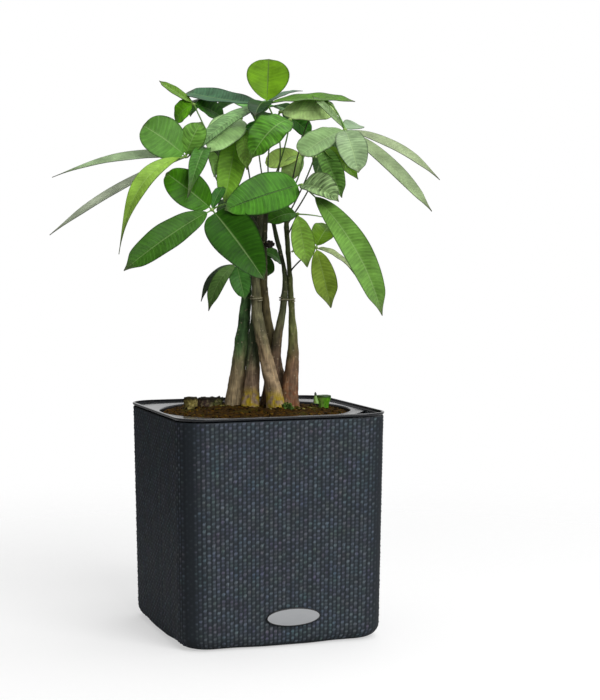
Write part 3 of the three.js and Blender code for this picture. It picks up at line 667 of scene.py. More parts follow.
# ---- the planter's pieces ----
class BuildWovenPlanter(bpy.types.Operator):
    """Makes the square planter with its plain weave, inner wall and floor"""
    bl_idname = "money_tree.woven_planter"
    bl_label = "Woven planter"

    # where vertices lie across a strand and up a row, and the share of the wall's height below the weave
    STRAND_CUTS = (0.0, 0.3, 0.7)
    ROW_CUTS = (0.0, 0.5)
    BARE_SHARE = 0.036
    # height at a cell's ends and how much it swells in the middle, as shares of the relief
    LEVEL_STRAND = (0.28, 0.22)
    UPRIGHT_STRAND = (0.45, 0.6)
    # range of a cell's own height, and how far a strand strays sideways and starts its rows up or down, as
    # shares of a strand's width and of a row
    UNEVEN = (0.65, 1.15)
    STRAY = 0.14
    SHIFT = 0.25
    # how much shallower the weave is in the middle of a corner, and over what angle; its lower crests there
    # are also painted darker
    CALMER = 0.75
    CALM_ANGLE = 0.36

    def execute(self, context):
        settings = context.scene.planter
        cuts, row_cuts = self.STRAND_CUTS, self.ROW_CUTS
        length = outside_length(POT_BASE_ROUND)
        weave_rows = round(length * (1 - self.BARE_SHARE) / (settings.row_pitch / MM))
        relief = settings.relief / MM
        columns = settings.strands * len(cuts)
        random = Random(7)
        # every cell of the weave stands a little higher or lower than its neighbours
        uneven = [[random.uniform(*self.UNEVEN) for _ in range(weave_rows)] for _ in range(settings.strands)]
        # and every strand strays a little sideways, and starts its rows a little higher or lower
        stray = [random.uniform(-self.STRAY, self.STRAY) for _ in range(settings.strands)]
        shift = [random.uniform(-self.SHIFT, self.SHIFT) for _ in range(settings.strands)]

        # a row of the profile is a share of the way up the outside, its place in the weave and a kind, or an
        # inset and a height, inside the wall and under the base
        profile = [(POT_BASE_ROUND + 40, 0.0), (POT_BASE_ROUND + 2, 0.0)]
        profile += [(share, None, "bare") for share in (0.0, 0.012, 0.024)]
        for row in range(weave_rows):
            for cut in row_cuts:
                share = self.BARE_SHARE + (1 - self.BARE_SHARE) * (row + cut) / weave_rows
                profile.append((share, row + cut, "weave"))
        profile += [(1.0, None, "bare"), (0.4, POT_TOP + 0.05), (0.9, POT_TOP + 0.05),
                    (POT_WALL - 0.5, POT_TOP), (POT_WALL, POT_TOP - 0.6), (POT_WALL, POT_BASE_ROUND),
                    (POT_WALL + 1.2, POT_FLOOR + 1.2), (POT_WALL + 4, POT_FLOOR), (POT_WALL + 40, POT_FLOOR)]

        def cell(column, row):
            """Height over the gaps and whether the level strand is on top."""
            strand, u = column // len(cuts) % settings.strands, cuts[column % len(cuts)]
            line, v = int(profile[row][1]), profile[row][1] % 1.0
            level = (strand + line) % 2 == 0
            # an upright strand shows over most of its length, and a level one lies lower between two of them
            ends, swell = self.LEVEL_STRAND if level else self.UPRIGHT_STRAND
            along = ends + swell * sin(pi * v)
            return along * (1 - abs(2 * u - 1) ** 4) * uneven[strand][line], level

        def calm(angle):
            """The mould is shallower round the corners, and its lower crests there are painted darker."""
            if angle is None:
                return 1.0
            return 1 - self.CALMER * exp(-((angle - pi / 4) / self.CALM_ANGLE) ** 2)

        def share_round(column):
            """A column's place round the planter, from 0 to 1."""
            strand, u = column // len(cuts), cuts[column % len(cuts)]
            return (strand + u + stray[strand % settings.strands]) / settings.strands

        def place(column, row):
            if len(profile[row]) == 2:
                inset, z = profile[row]
                corner = max(3.0, PLAN_CORNER - inset * 0.7)
                x, y, _, _, _ = square_point(share_round(column), pot_half(z) - inset, corner)
                return Vector((x, y, z)) * MM
            share = share_round(column)
            # the base is rounded more at the corners than along the sides
            near = (share * 4 % 1.0) * 2 - 1
            base_round = SIDE_BASE_ROUND + (POT_BASE_ROUND - SIDE_BASE_ROUND) * eased(1 - abs(near), 0.2, 0.6)
            rise, _, kind = profile[row]
            if kind == "weave":
                strand = column // len(cuts) % settings.strands
                rise += shift[strand] / weave_rows * eased(1 - rise, 0.0, 0.03)
            inset, z, out, up = pot_profile(rise, base_round)
            x, y, nx, ny, angle = square_point(share, pot_half(z) - inset, PLAN_CORNER - inset * 0.7)
            lift = (cell(column, row)[0] - 0.4) * relief * calm(angle) if kind == "weave" else 0.0
            return Vector((x + nx * out * lift, y + ny * out * lift, z + up * lift)) * MM

        def crest(column, row):
            """Height over the gaps, which the material turns to painted shade: the lower, the darker."""
            if profile[row][-1] != "weave":
                return 0.1
            angle = square_point(share_round(column), POT_HALF, PLAN_CORNER)[4]
            return cell(column, row)[0] * calm(angle)

        def run(column, row):
            """1 where the strand on top is a level one."""
            return float(cell(column, row)[1]) if profile[row][-1] == "weave" else 0.0

        piece = sheet("woven_wall", columns, len(profile) - 1, place, {"crest": crest, "run": run})
        settled(dressed(piece, woven_polypropylene(settings)), "pot", slot="woven_plastic")
        return {"FINISHED"}


class BuildLiner(bpy.types.Operator):
    """Makes the glossy insert with its square rim, round tub, watering hole and drain holes"""
    bl_idname = "money_tree.liner"
    bl_label = "Glossy liner"

    COLUMNS = 240
    # the cutter of the watering hole starts well under the rim and reaches through it
    CUT_BOTTOM = POT_HEIGHT - 20
    CUT_DEPTH = 30.0
    DRAIN_DEPTH = 10.0

    def execute(self, context):
        turns = (0, pi / 8, pi / 4, 3 * pi / 8, pi / 2)
        outer = [(RIM_ROUND * (1 - cos(a)), RIM_TOP - RIM_ROUND * (1 - sin(a))) for a in turns]
        inner = [(RIM_WIDTH - RIM_INNER_ROUND * cos(a), RIM_TOP - RIM_INNER_ROUND * (1 - sin(a)))
                 for a in reversed(turns[1:])]
        # the tub's outside, up to the rim's underside, as radius and height
        tub_outside = [(TUB_FLOOR_RADIUS + TUB_WALL - 0.8, TUB_FLOOR - TUB_WALL),
                       (TUB_FLOOR_RADIUS + TUB_WALL, TUB_FLOOR - TUB_WALL + 0.8),
                       (TUB_RADIUS + TUB_WALL, RIM_BOTTOM)]
        # the rim, as inset and height; rings just below its roundings keep the walls' reflections flat
        rim = [(1.7, RIM_BOTTOM), (1.3, RIM_BOTTOM + 0.1), (0.5, RIM_BOTTOM + 0.7), (0.03, RIM_TOP - 0.75)]
        rim += outer + inner
        rim += [(RIM_WIDTH, RIM_TOP - 0.45), (RIM_WIDTH, FLANGE + 0.25), (RIM_WIDTH + 0.25, FLANGE),
                (RIM_WIDTH + 0.6, FLANGE)]
        tub_inside = [(TUB_RADIUS + 1.0, FLANGE), (TUB_RADIUS + 0.4, FLANGE - 0.15),
                      (TUB_RADIUS + 0.1, FLANGE - 0.5), (TUB_RADIUS, FLANGE - 1.2),
                      (TUB_FLOOR_RADIUS, TUB_FLOOR + 1.0), (TUB_FLOOR_RADIUS - 1.0, TUB_FLOOR)]
        runs = ("circle", tub_outside), ("square", rim), ("circle", tub_inside)
        rings = [(kind, size, z) for kind, run in runs for size, z in run]

        def place(column, row):
            kind, size, z = rings[row]
            share = column / self.COLUMNS
            if kind == "circle":
                return Vector((size * cos(tau * share), size * sin(tau * share), z)) * MM
            x, y, _, _, _ = square_point(share, RIM_HALF - size, PLAN_CORNER + RIM_HALF - POT_HALF - size)
            return Vector((x, y, z)) * MM

        piece = sheet("liner_insert", self.COLUMNS, len(rings) - 1, place)
        for cutter in [self.corner_cutter()] + [self.drain_cutter(k) for k in range(4)]:
            cut = piece.modifiers.new("cut", "BOOLEAN")
            cut.operation, cut.object, cut.solver = "DIFFERENCE", cutter, "EXACT"
            only(piece)
            bpy.ops.object.modifier_apply(modifier=cut.name)
            bpy.data.objects.remove(cutter)
        piece.data.materials.clear()
        look = polished_polypropylene(context.scene.planter)
        settled(dressed(piece, look, 35), "liner", slot="gloss_plastic")
        return {"FINISHED"}

    def corner_cutter(self):
        """A three-cornered prism through the front right corner: its inner side follows the tub, and its
        corners are rounded."""
        low, high, wide = HOLE_INSIDE, HOLE_OUTSIDE, PLAN_CORNER - 5.0
        turns = [radians(degrees) for degrees in range(-25, -51, -3)]
        outline = [Vector((HOLE_ARC * cos(turn), HOLE_ARC * sin(turn))) for turn in turns]
        corners = [((low + 0.6, -high + 3), (low, -high), (low + 3, -high)),
                   ((high - wide, -high), (high, -high), (high, -high + wide)),
                   ((high, -31.5), (high, -28.4), (66.6, -29.3))]
        for start, corner, end in corners:
            outline += [bezier(Vector(start), Vector(corner), Vector(end), k / 8) for k in range(9)]
        cutter = started(bpy.ops.mesh.primitive_circle_add, vertices=len(outline), radius=1, fill_type="NGON")
        for vertex, point in zip(cutter.data.vertices, outline):
            vertex.co = Vector((point.x, point.y, self.CUT_BOTTOM)) * MM
        with edited(cutter):
            bpy.ops.mesh.extrude_region_move(TRANSFORM_OT_translate={"value": (0, 0, self.CUT_DEPTH * MM)})
        return cutter

    def drain_cutter(self, quarter):
        """An upright rod through the tub's floor."""
        angle = quarter * pi / 2
        at = Vector((DRAIN_CIRCLE * cos(angle), DRAIN_CIRCLE * sin(angle), TUB_FLOOR)) * MM
        return started(bpy.ops.mesh.primitive_cylinder_add, vertices=24, radius=DRAIN_RADIUS * MM,
                       depth=self.DRAIN_DEPTH * MM, location=at)


class BuildBadge(bpy.types.Operator):
    """Makes the bare oval plate: slightly domed, with a thin dark border"""
    bl_idname = "money_tree.badge"
    bl_label = "Oval plate"

    # each ring is its inset and its height over the plate's back, from the back to the middle of the face
    RINGS = ((0.3, 0.0), (0.0, 0.2), (0.0, 1.05), (0.08, 1.22), (0.25, 1.3), (0.62, 1.3), (0.72, 1.2),
             (1.1, 1.22), (1.9, 1.25), (3.0, 1.28), (4.4, 1.3), (5.4, 1.3))
    # the ring where the dark border ends
    BORDER_END = 6

    def execute(self, context):
        wide, high = BADGE_SIZE[0] / 2, BADGE_SIZE[1] / 2
        piece = started(bpy.ops.mesh.primitive_circle_add, vertices=128, radius=1, fill_type="NGON")
        piece.name = piece.data.name = "badge_plate"
        first = self.RINGS[0][0]
        piece.scale = ((wide - first) * MM, (high - first) * MM, 1)
        bpy.ops.object.transform_apply(location=False, rotation=False, scale=True)
        piece.data.materials.append(satin_nickel(context.scene.planter))
        piece.data.materials.append(black_enamel())
        with edited(piece):
            for (inset, height), (next_inset, next_height) in zip(self.RINGS, self.RINGS[1:]):
                rise = (0, 0, (next_height - height) * MM)
                shrink = ((wide - next_inset) / (wide - inset), (high - next_inset) / (high - inset), 1)
                bpy.ops.mesh.extrude_region_move(TRANSFORM_OT_translate={"value": rise})
                bpy.ops.transform.resize(value=shrink)
        edge = self.RINGS[self.BORDER_END][0]
        for face in piece.data.polygons:
            reach = hypot(face.center.x / (wide - edge), face.center.y / (high - edge)) / MM
            face.material_index = 0 if reach < 1.0 and face.center.z > 1.0 * MM else 1
        # stood on the sloping front wall, its face to -Y
        slope = atan2(pot_half(POT_HEIGHT) - pot_half(0), POT_HEIGHT)
        piece.rotation_euler = (pi / 2 + slope, 0, 0)
        piece.location = Vector((BADGE_AT[0], -pot_half(BADGE_AT[1]) - BADGE_GAP, BADGE_AT[1])) * MM
        bpy.ops.object.transform_apply(location=True, rotation=True, scale=True)
        settled(smoothed(piece, 40), "badge", slot="silver_plate")
        return {"FINISHED"}


# ---- soil ----
def soil_height(radius):
    """The mound's height at a distance from the planter's axis, in millimetres."""
    for (r0, z0), (r1, z1) in zip(SOIL_PROFILE, SOIL_PROFILE[1:]):
        if radius <= r1:
            return z0 + (z1 - z0) * (radius - r0) / (r1 - r0)
    return SOIL_PROFILE[-1][1]


def lumps(x, y, relief):
    """The uneven part of the soil's height at a point in millimetres."""
    wide = noise.noise(Vector((x, y, 3.0)) / 9.0)
    small = noise.noise(Vector((x, y, 11.0)) / 3.2)
    tiny = noise.noise(Vector((x, y, 17.0)) / 1.4)
    return relief * (0.9 * wide + 0.7 * small + 0.35 * tiny)


class BuildSoil(bpy.types.Operator):
    """Makes the mounded soil, its loose crumbs and its tufts of moss"""
    bl_idname = "money_tree.soil"
    bl_label = "Soil, crumbs and moss"

    AROUND = 260
    ROWS = 88
    # how far from the planter's axis crumbs lie
    CRUMB_REACH = 61.0
    EARTHS = ("221602", "2E1E04", "3E2A06", "503A0A", "363004", "443E08", "180F02", "5E4612")
    MOSSES = ("35481C", "44602A", "2A3A14", "4E6A2E", "626A34")
    DRY_MOSSES = ("4A4414", "5E5620", "787038", "383610", "8A7E4C")
    # each tuft is its place in the crown's frame, its radius in millimetres and how many cushions it has; the
    # first is a fresh green heap and the others lie flat and dry
    TUFTS = ((21, -13, 4.4, 110), (2, -11, 2.4, 12), (30, -6, 2.6, 14), (-20, 1, 3.4, 34), (38, 2, 3.0, 14),
             (9, -16, 2.0, 8))
    HEAP = 4.2
    # a lump's least and largest stretch along its x, y and z
    STRETCH = ((0.8, 1.5), (0.7, 1.1), (0.6, 1.0))

    def execute(self, context):
        settings = context.scene.soil
        relief = settings.relief / MM
        outer = SOIL_PROFILE[-1][0]

        def place(column, row):
            angle = tau * column / self.AROUND
            if row <= self.ROWS:
                radius = max(0.05, outer * (row / self.ROWS) ** 0.85)
                x, y = radius * cos(angle), radius * sin(angle)
                calm = 1 - eased(radius, outer - 1.5, outer)
                return Vector((x, y, soil_height(radius) + lumps(x, y, relief) * calm)) * MM
            radius, z = ((outer - 6.6, SOIL_BOTTOM), (outer - 30, SOIL_BOTTOM))[row - self.ROWS - 1]
            return Vector((radius * cos(angle), radius * sin(angle), z)) * MM

        surface = sheet("soil_surface", self.AROUND, self.ROWS + 2, place)
        settled(dressed(surface, potting_soil(settings), 50), "soil", slot="soil")

        crumb_look = bark_crumbs()
        random = Random(41)
        # each spot is x, y, its share of the largest size, its tint and how high it is heaped over the soil
        spots = []
        for _ in range(settings.crumbs):
            radius, angle = self.CRUMB_REACH * random.random() ** 0.55, random.uniform(0, tau)
            spots.append((radius * cos(angle), radius * sin(angle), random.uniform(0.35, 1.0) ** 1.6,
                          random.choice(self.EARTHS), 0))
        self.scatter("soil_crumbs", spots, settings.crumb_size / 2 / MM, relief, crumb_look, random)

        spots = []
        for number, (x, y, reach, count) in enumerate(self.TUFTS):
            tones = self.DRY_MOSSES if number else self.MOSSES
            for _ in range(count):
                away, angle = reach * random.random() ** 0.6, random.uniform(0, tau)
                at = in_crown(x + away * cos(angle), y + away * sin(angle), 0) / MM
                heap = 0 if number else self.HEAP * (1 - (away / reach) ** 2) * random.random()
                spots.append((at.x, at.y, random.uniform(0.5, 1.0), random.choice(tones), heap))
        self.scatter("moss_tufts", spots, 1.0, relief, crumb_look, random)
        return {"FINISHED"}

    def scatter(self, name, spots, size, relief, look, random):
        """One lump, made once and copied to every spot with its own turn and stretch."""
        pattern = started(bpy.ops.mesh.primitive_uv_sphere_add, segments=8, ring_count=5, radius=1)
        for vertex in pattern.data.vertices:
            vertex.co *= 1 + 0.35 * noise.noise(vertex.co * 1.7)
        base = [v.co.copy() for v in pattern.data.vertices]
        copies = []
        for x, y, share, hex_colour, heap in spots:
            copy = pattern.copy()
            copy.data = pattern.data.copy()
            bpy.context.scene.collection.objects.link(copy)
            round_z, round_x = random.uniform(0, tau), random.uniform(0, tau)
            turn = Matrix.Rotation(round_z, 3, "Z") @ Matrix.Rotation(round_x, 3, "X")
            stretch = Matrix.Diagonal([random.uniform(low, high) for low, high in self.STRETCH])
            z = soil_height(hypot(x, y)) + lumps(x, y, relief) + size * share * 0.25 + heap
            at = Vector((x, y, z))
            for vertex, co in zip(copy.data.vertices, base):
                vertex.co = (at + turn @ stretch @ co * (size * share)) * MM
            copies.append(tinted(copy, hex_colour))
        bpy.data.objects.remove(pattern)
        settled(dressed(joined(name, copies), look), slot="soil")


# ---- stems ----
# Rows of x, y, z and radius in the crown's frame, in millimetres, from the foot in the soil to the top bud.
STEMS = {
    "trunk_left": ((-14.4, 8, 128, 5.4), (-14.4, 8, 150, 5.8), (-12.8, 8, 160, 5.5), (-11, 8, 172, 5.1),
                   (-9.2, 8, 190, 4.6), (-6.4, 8, 212, 3.7), (-5, 9.5, 238, 2.7), (-5, 11, 266, 2.2),
                   (-4.5, 12, 284, 1.9), (-4.5, 12, 287, 0.9)),
    "trunk_middle": ((-3, 0, 128, 5.3), (-3, 0, 150, 5.6), (-2.2, 1, 160, 5.2), (-1.4, 2, 174, 4.6),
                     (-0.8, 2.8, 192, 3.5), (0.4, 3, 216, 2.7), (-0.4, 3, 244, 2.4), (-0.5, 3, 268, 2.2),
                     (0, 4, 285, 1.9), (0, 4, 288, 0.9)),
    "trunk_front": ((14, -8, 128, 5.6), (14, -8, 150, 5.8), (11.4, -8, 162, 5.3), (8, -8, 178, 4.6),
                    (4.4, -7.5, 194, 4.1), (1.6, -6.2, 209, 3.7), (0.8, -5.6, 222, 3), (0.6, -5.2, 240, 2.6),
                    (3, -5, 268, 2.1), (5, -6, 288, 1.8), (5, -6, 291, 0.8)),
    "trunk_centre_right": ((20, 14, 128, 4.7), (20, 14, 150, 4.8), (17.6, 13.6, 162, 4.2),
                           (14.5, 12.6, 178, 3.6), (8.9, 9, 202, 3), (6.4, 7.4, 220, 2.8),
                           (5.6, 7.6, 244, 2.5), (6.3, 8, 268, 2.1), (7.5, 8, 288, 1.8), (7.5, 8, 291, 0.8)),
    "trunk_back_right": ((8, 6, 128, 4.7), (8, 6, 150, 4.8), (10.2, 5, 160, 4.5), (13.2, 4, 177, 3.8),
                         (15.9, 3.6, 198, 2.8), (19.2, 3, 218, 2.2), (19.6, 3, 238, 1.5), (12.8, 2, 268, 1.5),
                         (12, 0, 286, 1.4), (12, 0, 288, 0.7)),
    "trunk_right": ((22.8, 1, 128, 6), (22.8, 1, 150, 6.2), (23.6, 1.4, 162, 5.5), (24.6, 2, 174, 4.6),
                    (25.4, 2.6, 186, 3.6), (25, 3, 202, 2.6), (24, 3, 218, 2), (23, 2.6, 238, 1.6),
                    (21, 1, 268, 1.6), (21.5, 1, 286, 1.4), (21.5, 1, 288, 0.7)),
}

# For each stem: the heights between which its bark turns from brown to green, the two colours and a seed.
BARKS = {
    # painted light: the left stem's brown is lightened to make up for the shade it stands in
    "trunk_left": (164, 192, "968464", "4A6C3C", 1),
    "trunk_middle": (164, 188, "86705A", "4E5E3E", 2),
    "trunk_front": (178, 204, "968062", "6E6A4C", 3),
    "trunk_centre_right": (158, 190, "6A5442", "62583A", 4),
    "trunk_back_right": (176, 214, "67513F", "5A5E40", 5),
    "trunk_right": (170, 202, "765A42", "666C3C", 6),
}


def stem_at(name, z, smooth=True):
    """x, y, z and radius of a stem at a height, on a smooth curve through its rows or straight between."""
    rows = STEMS[name]
    upper = next(k for k, row in enumerate(rows) if row[2] >= z or k == len(rows) - 1)
    upper = max(1, upper)
    low, high = rows[upper - 1], rows[upper]
    share = (z - low[2]) / (high[2] - low[2])
    if not smooth:
        return [a + (b - a) * share for a, b in zip(low, high)]
    span = high[2] - low[2]
    before, after = rows[max(0, upper - 2)], rows[min(len(rows) - 1, upper + 1)]
    values = []
    for k in (0, 1, 3):
        slope_low = (high[k] - before[k]) / max(1e-6, high[2] - before[2])
        slope_high = (after[k] - low[k]) / max(1e-6, after[2] - low[2])
        t, t2, t3 = share, share ** 2, share ** 3
        values.append(low[k] * (2 * t3 - 3 * t2 + 1) + slope_low * span * (t3 - 2 * t2 + t)
                      + high[k] * (3 * t2 - 2 * t3) + slope_high * span * (t3 - t2))
    return [values[0], values[1], z, max(0.3, values[2])]


class BuildStems(bpy.types.Operator):
    """Makes the six stems with ridged bark, growth rings, rounded top buds and the pruned knot"""
    bl_idname = "money_tree.stems"
    bl_label = "Stems"

    AROUND = 36
    # height of a row of faces
    STEP = 0.9
    # leaf scars swell the thin upper stem from a height on, every so many millimetres
    SCARS_FROM = 215
    SCAR_PITCH = 17
    # the knot's place and half sizes in the crown's frame
    KNOT = (9.8, 4.6, 255.8)
    KNOT_SIZE = (3.2, 2.1, 2.5)

    def execute(self, context):
        settings = context.scene.stems
        look = young_bark()
        for name, rows in STEMS.items():
            piece = self.stem(name, rows, settings)
            if name == "trunk_centre_right":
                piece = joined(piece.name, [piece, self.knot()])
            settled(dressed(piece, look), name, slot="bark")
        return {"FINISHED"}

    def stem(self, name, rows, settings):
        low, high = rows[0][2], rows[-1][2]
        count = round((high - low) / self.STEP)
        turn_low, turn_high, brown_hex, green_hex, seed = BARKS[name]
        brown, green = linear(brown_hex), linear(green_hex)
        dark = tuple(settings.bark_dark)
        mustard, rust = linear("A8901A"), linear("8A4A22")
        depth = settings.bark_relief / MM
        shift = Vector((seed * 37.0, seed * 11.0, 0.0))

        def height(row):
            """A row's height, in millimetres."""
            return low + (high - low) * row / count

        def bark(angle, z, radius):
            """How far the bark stands out, in millimetres: ridges along the stem, knobs, rings round it."""
            round_it = Vector((cos(angle) * radius, sin(angle) * radius, 0))
            ridges = noise.noise(Vector((round_it.x / 1.5, round_it.y / 1.5, z / 9.0)) + shift)
            knobs = noise.noise(Vector((round_it.x / 4.5, round_it.y / 4.5, z / 12.0)) + shift)
            rings = noise.noise(Vector((0.2 * round_it.x, 0.2 * round_it.y, z / 2.2)) + shift)
            thick = min(1.0, radius / 4.0)
            return depth * thick * (1.1 * ridges + 1.3 * knobs + 0.45 * rings)

        def place(column, row):
            z = height(row)
            x, y, _, radius = stem_at(name, z)
            angle = tau * column / self.AROUND
            scar = 0.0
            if z > self.SCARS_FROM and radius > 1.2:
                scar = 0.22 * exp(-(((z + 5 * seed) % self.SCAR_PITCH - 8) / 1.3) ** 2)
            # the foot spreads in a few blunt roots
            roots = 0.9 * eased(z, 156, 147) * max(0.0, cos(3 * angle + seed)) if z > 140 else 0.0
            reach = radius + bark(angle, z, radius) + scar + roots
            return in_crown(x + reach * cos(angle), y + reach * sin(angle), z)

        def tint(column, row):
            z = height(row)
            _, _, _, radius = stem_at(name, z)
            angle = tau * column / self.AROUND
            wander = 9 * noise.noise(Vector((cos(angle), sin(angle), z / 14.0)) + shift)
            colour = mixed(brown, green, eased(z + wander, turn_low, turn_high))
            colour = mixed(colour, dark, 0.7 * eased(z, 216, 252))
            # painted shade: the bark is painted darker in its grooves and lighter on its ridges, by the
            # relief that shapes it
            ridge_shade = bark(angle, z, radius) / max(depth, 1e-6)
            colour = tuple(c * (1 + 0.38 * ridge_shade) for c in colour)
            patch = noise.noise(Vector((cos(angle) * 2.1, sin(angle) * 2.1, z / 3.0)) + shift * 0.7)
            # blotches of grey lichen and darker cork, about 5 mm across
            spot = Vector((cos(angle) * radius / 3.2, sin(angle) * radius / 3.2, z / 4.5))
            blotch = noise.noise(spot + shift * 1.3)
            colour = tuple(c * (1 + 0.5 * blotch) for c in colour)
            if name in ("trunk_middle", "trunk_front"):
                colour = mixed(colour, mustard, eased(z, 163, 153) * eased(patch, -0.35, 0.1))
            if name == "trunk_right":
                colour = mixed(colour, rust, 0.55 * eased(z, 172, 152) * eased(patch, -0.1, 0.4))
            if name == "trunk_front":
                worn = 0.7 * exp(-((z - 170) / 9) ** 2) * eased(patch, -0.3, 0.3)
                colour = mixed(colour, linear("C0A684"), worn)
            return (*(max(0.0, c) for c in colour), 1.0)

        return sheet(name + "_bark", self.AROUND, count, place, {"tint": tint})

    def knot(self):
        """The dark stump of a pruned side shoot, high on the centre right stem."""
        piece = started(bpy.ops.mesh.primitive_ico_sphere_add, subdivisions=4, radius=1)
        for vertex in piece.data.vertices:
            co = vertex.co * (1 + 0.3 * noise.noise(vertex.co * 2.3))
            spot = [at + part * half for at, part, half in zip(self.KNOT, co, self.KNOT_SIZE)]
            vertex.co = in_crown(*spot)
        return tinted(piece, "2C2620")


class BuildTies(bpy.types.Operator):
    """Winds two-ply twine round each tied pair of stems"""
    bl_idname = "money_tree.ties"
    bl_label = "Twine ties"

    # each tie's two stems and its height
    TIES = {"tie_right": ("trunk_right", "trunk_back_right", 219.0),
            "tie_middle": ("trunk_front", "trunk_middle", 220.0)}
    TURNS = 1.9
    PITCH = 1.5
    RADIUS = 0.46
    # how far the twine's middle lies from the bark
    CLEAR = 0.6
    STEPS = 260

    def execute(self, context):
        look = jute_twine(context.scene.stems)
        for name, (first, second, z) in self.TIES.items():
            one, two = stem_at(first, z, smooth=False), stem_at(second, z, smooth=False)
            path = [self.point(k / self.STEPS, one, two, z) for k in range(self.STEPS + 1)]

            def radius(share, angle):
                ply = abs(cos(angle - share * self.TURNS * 60))
                return (self.RADIUS * (0.74 + 0.3 * ply)) * MM

            piece = tube(name + "_twine", path, radius, 12)
            settled(dressed(piece, look), name, slot="twine")
        return {"FINISHED"}

    def point(self, t, one, two, z):
        """A helix that hugs both stems, its two ends turned a little away."""
        angle = -pi / 2 + 0.3 + t * self.TURNS * tau
        x, y = cos(angle), sin(angle)
        row = max((one, two), key=lambda stem: x * stem[0] + y * stem[1] + stem[3])
        end = max(0.0, 0.06 - t, t - 0.94) / 0.06
        reach = row[3] + self.CLEAR + 1.5 * end
        return in_crown(row[0] + reach * x, row[1] + reach * y, z + (t - 0.5) * self.TURNS * self.PITCH)


class BuildStubs(bpy.types.Operator):
    """Makes the cut stub, the lump of mossy bark and the green shoot that stand in the soil"""
    bl_idname = "money_tree.stubs"
    bl_label = "Stubs in the soil"

    AROUND = 48
    FOOT = 138.0
    SHEATH_AT = (41.2, 10.8)

    def execute(self, context):
        wood, shoot = weathered_wood(), sappy_shoot()
        stub = self.stub("stub_left_wood", at=(-43.3, 8), radius=(4.6, 4.6), top=153.3, ragged=0.2, rough=0.5,
                         seed=5, sides=("867A40", "867A40", "B0A468", "50461E"), cut="1A140A")
        settled(dressed(stub, wood, 55), "stub_left", slot="cut_wood")
        lump = self.stub("bark_piece_wood", at=(-30, 11), radius=(8.2, 5.0), top=153.6, ragged=1.6, rough=1.1,
                         seed=9, sides=("5A4640", "4C5220", "7A7050", "2A2218"), cut="100D08")
        settled(dressed(lump, wood, 55), "bark_piece", slot="bark")
        green = self.stub("stub_right_shoot", at=(46.2, 12), radius=(5.2, 4.7), top=154.0, ragged=0.15,
                          rough=0.25, seed=14, sides=("86AA50", "56981A", "6CAE24", "3A6E12"), cut="1E3A0C",
                          waist=0.64)
        green = joined(green.name, [green, self.sheath()])
        settled(dressed(green, shoot, 55), "stub_right", slot="green_shoot")
        return {"FINISHED"}

    def stub(self, name, at, radius, top, ragged, rough, seed, sides, cut, waist=1.0):
        """A short post with an uneven cut top. sides are its colours on the left and on the right, a lighter
        and a darker one; waist is how wide it is at the soil, as a share of its top."""
        left, right, lighter, darker, cut_colour = (linear(c) for c in (*sides, cut))
        shift = Vector((seed * 5.0, 0, seed * 3.0))
        # share of the radius and height of each ring
        rings = [(1.0, self.FOOT + k) for k in range(int(top - self.FOOT - 1))]
        rings += [(1.0, top - 0.9), (0.98, top - 0.35), (0.92, top), (0.8, top - 0.15), (0.6, top - 0.4),
                  (0.35, top - 0.5), (0.1, top - 0.55)]

        def place(column, row):
            share, z = rings[row]
            angle = tau * column / self.AROUND
            share *= waist + (1 - waist) * eased(z, top - 8, top)
            x, y = cos(angle) * radius[0] * share, sin(angle) * radius[1] * share
            wobble = 1 + rough * 0.14 * noise.noise(Vector((x / 1.6, y / 1.6, z / 3.5)) + shift)
            lift = ragged * noise.noise(Vector((x / 2.4, y / 2.4, 0)) + shift) * eased(z, top - 5, top)
            return in_crown(at[0] + x * wobble, at[1] + y * wobble, z + lift - 0.5 * ragged)

        def tint(column, row):
            share, z = rings[row]
            angle = tau * column / self.AROUND
            fleck = noise.noise(Vector((cos(angle) * radius[0], sin(angle) * radius[1], z)) / 1.5 + shift)
            colour = mixed(mixed(left, right, eased(cos(angle), -0.3, 0.3)), lighter if fleck > 0 else darker,
                           min(1.0, abs(fleck) * 2.0))
            return (*mixed(colour, cut_colour, 0.92 if row > len(rings) - 8 else 0.0), 1.0)

        return sheet(name, self.AROUND, len(rings) - 1, place, {"tint": tint})

    def sheath(self):
        """The drawn-out sheath beside the green shoot, dark at its point."""
        rings = [(2.0, 148.5), (1.9, 150.0), (1.6, 151.5), (1.2, 153.0), (0.8, 154.3), (0.75, 155.3),
                 (0.25, 156.2)]

        def place(column, row):
            radius, z = rings[row]
            angle = tau * column / self.AROUND
            lean = 0.25 * (z - 150) * 0.4
            x, y = self.SHEATH_AT
            return in_crown(x + radius * cos(angle) - lean, y + radius * sin(angle), z)

        def tint(column, row):
            return (*mixed(linear("8CB45A"), linear("1E2A12"), eased(rings[row][1], 152.8, 154.3)), 1.0)

        return sheet("sheath", self.AROUND, len(rings) - 1, place, {"tint": tint})
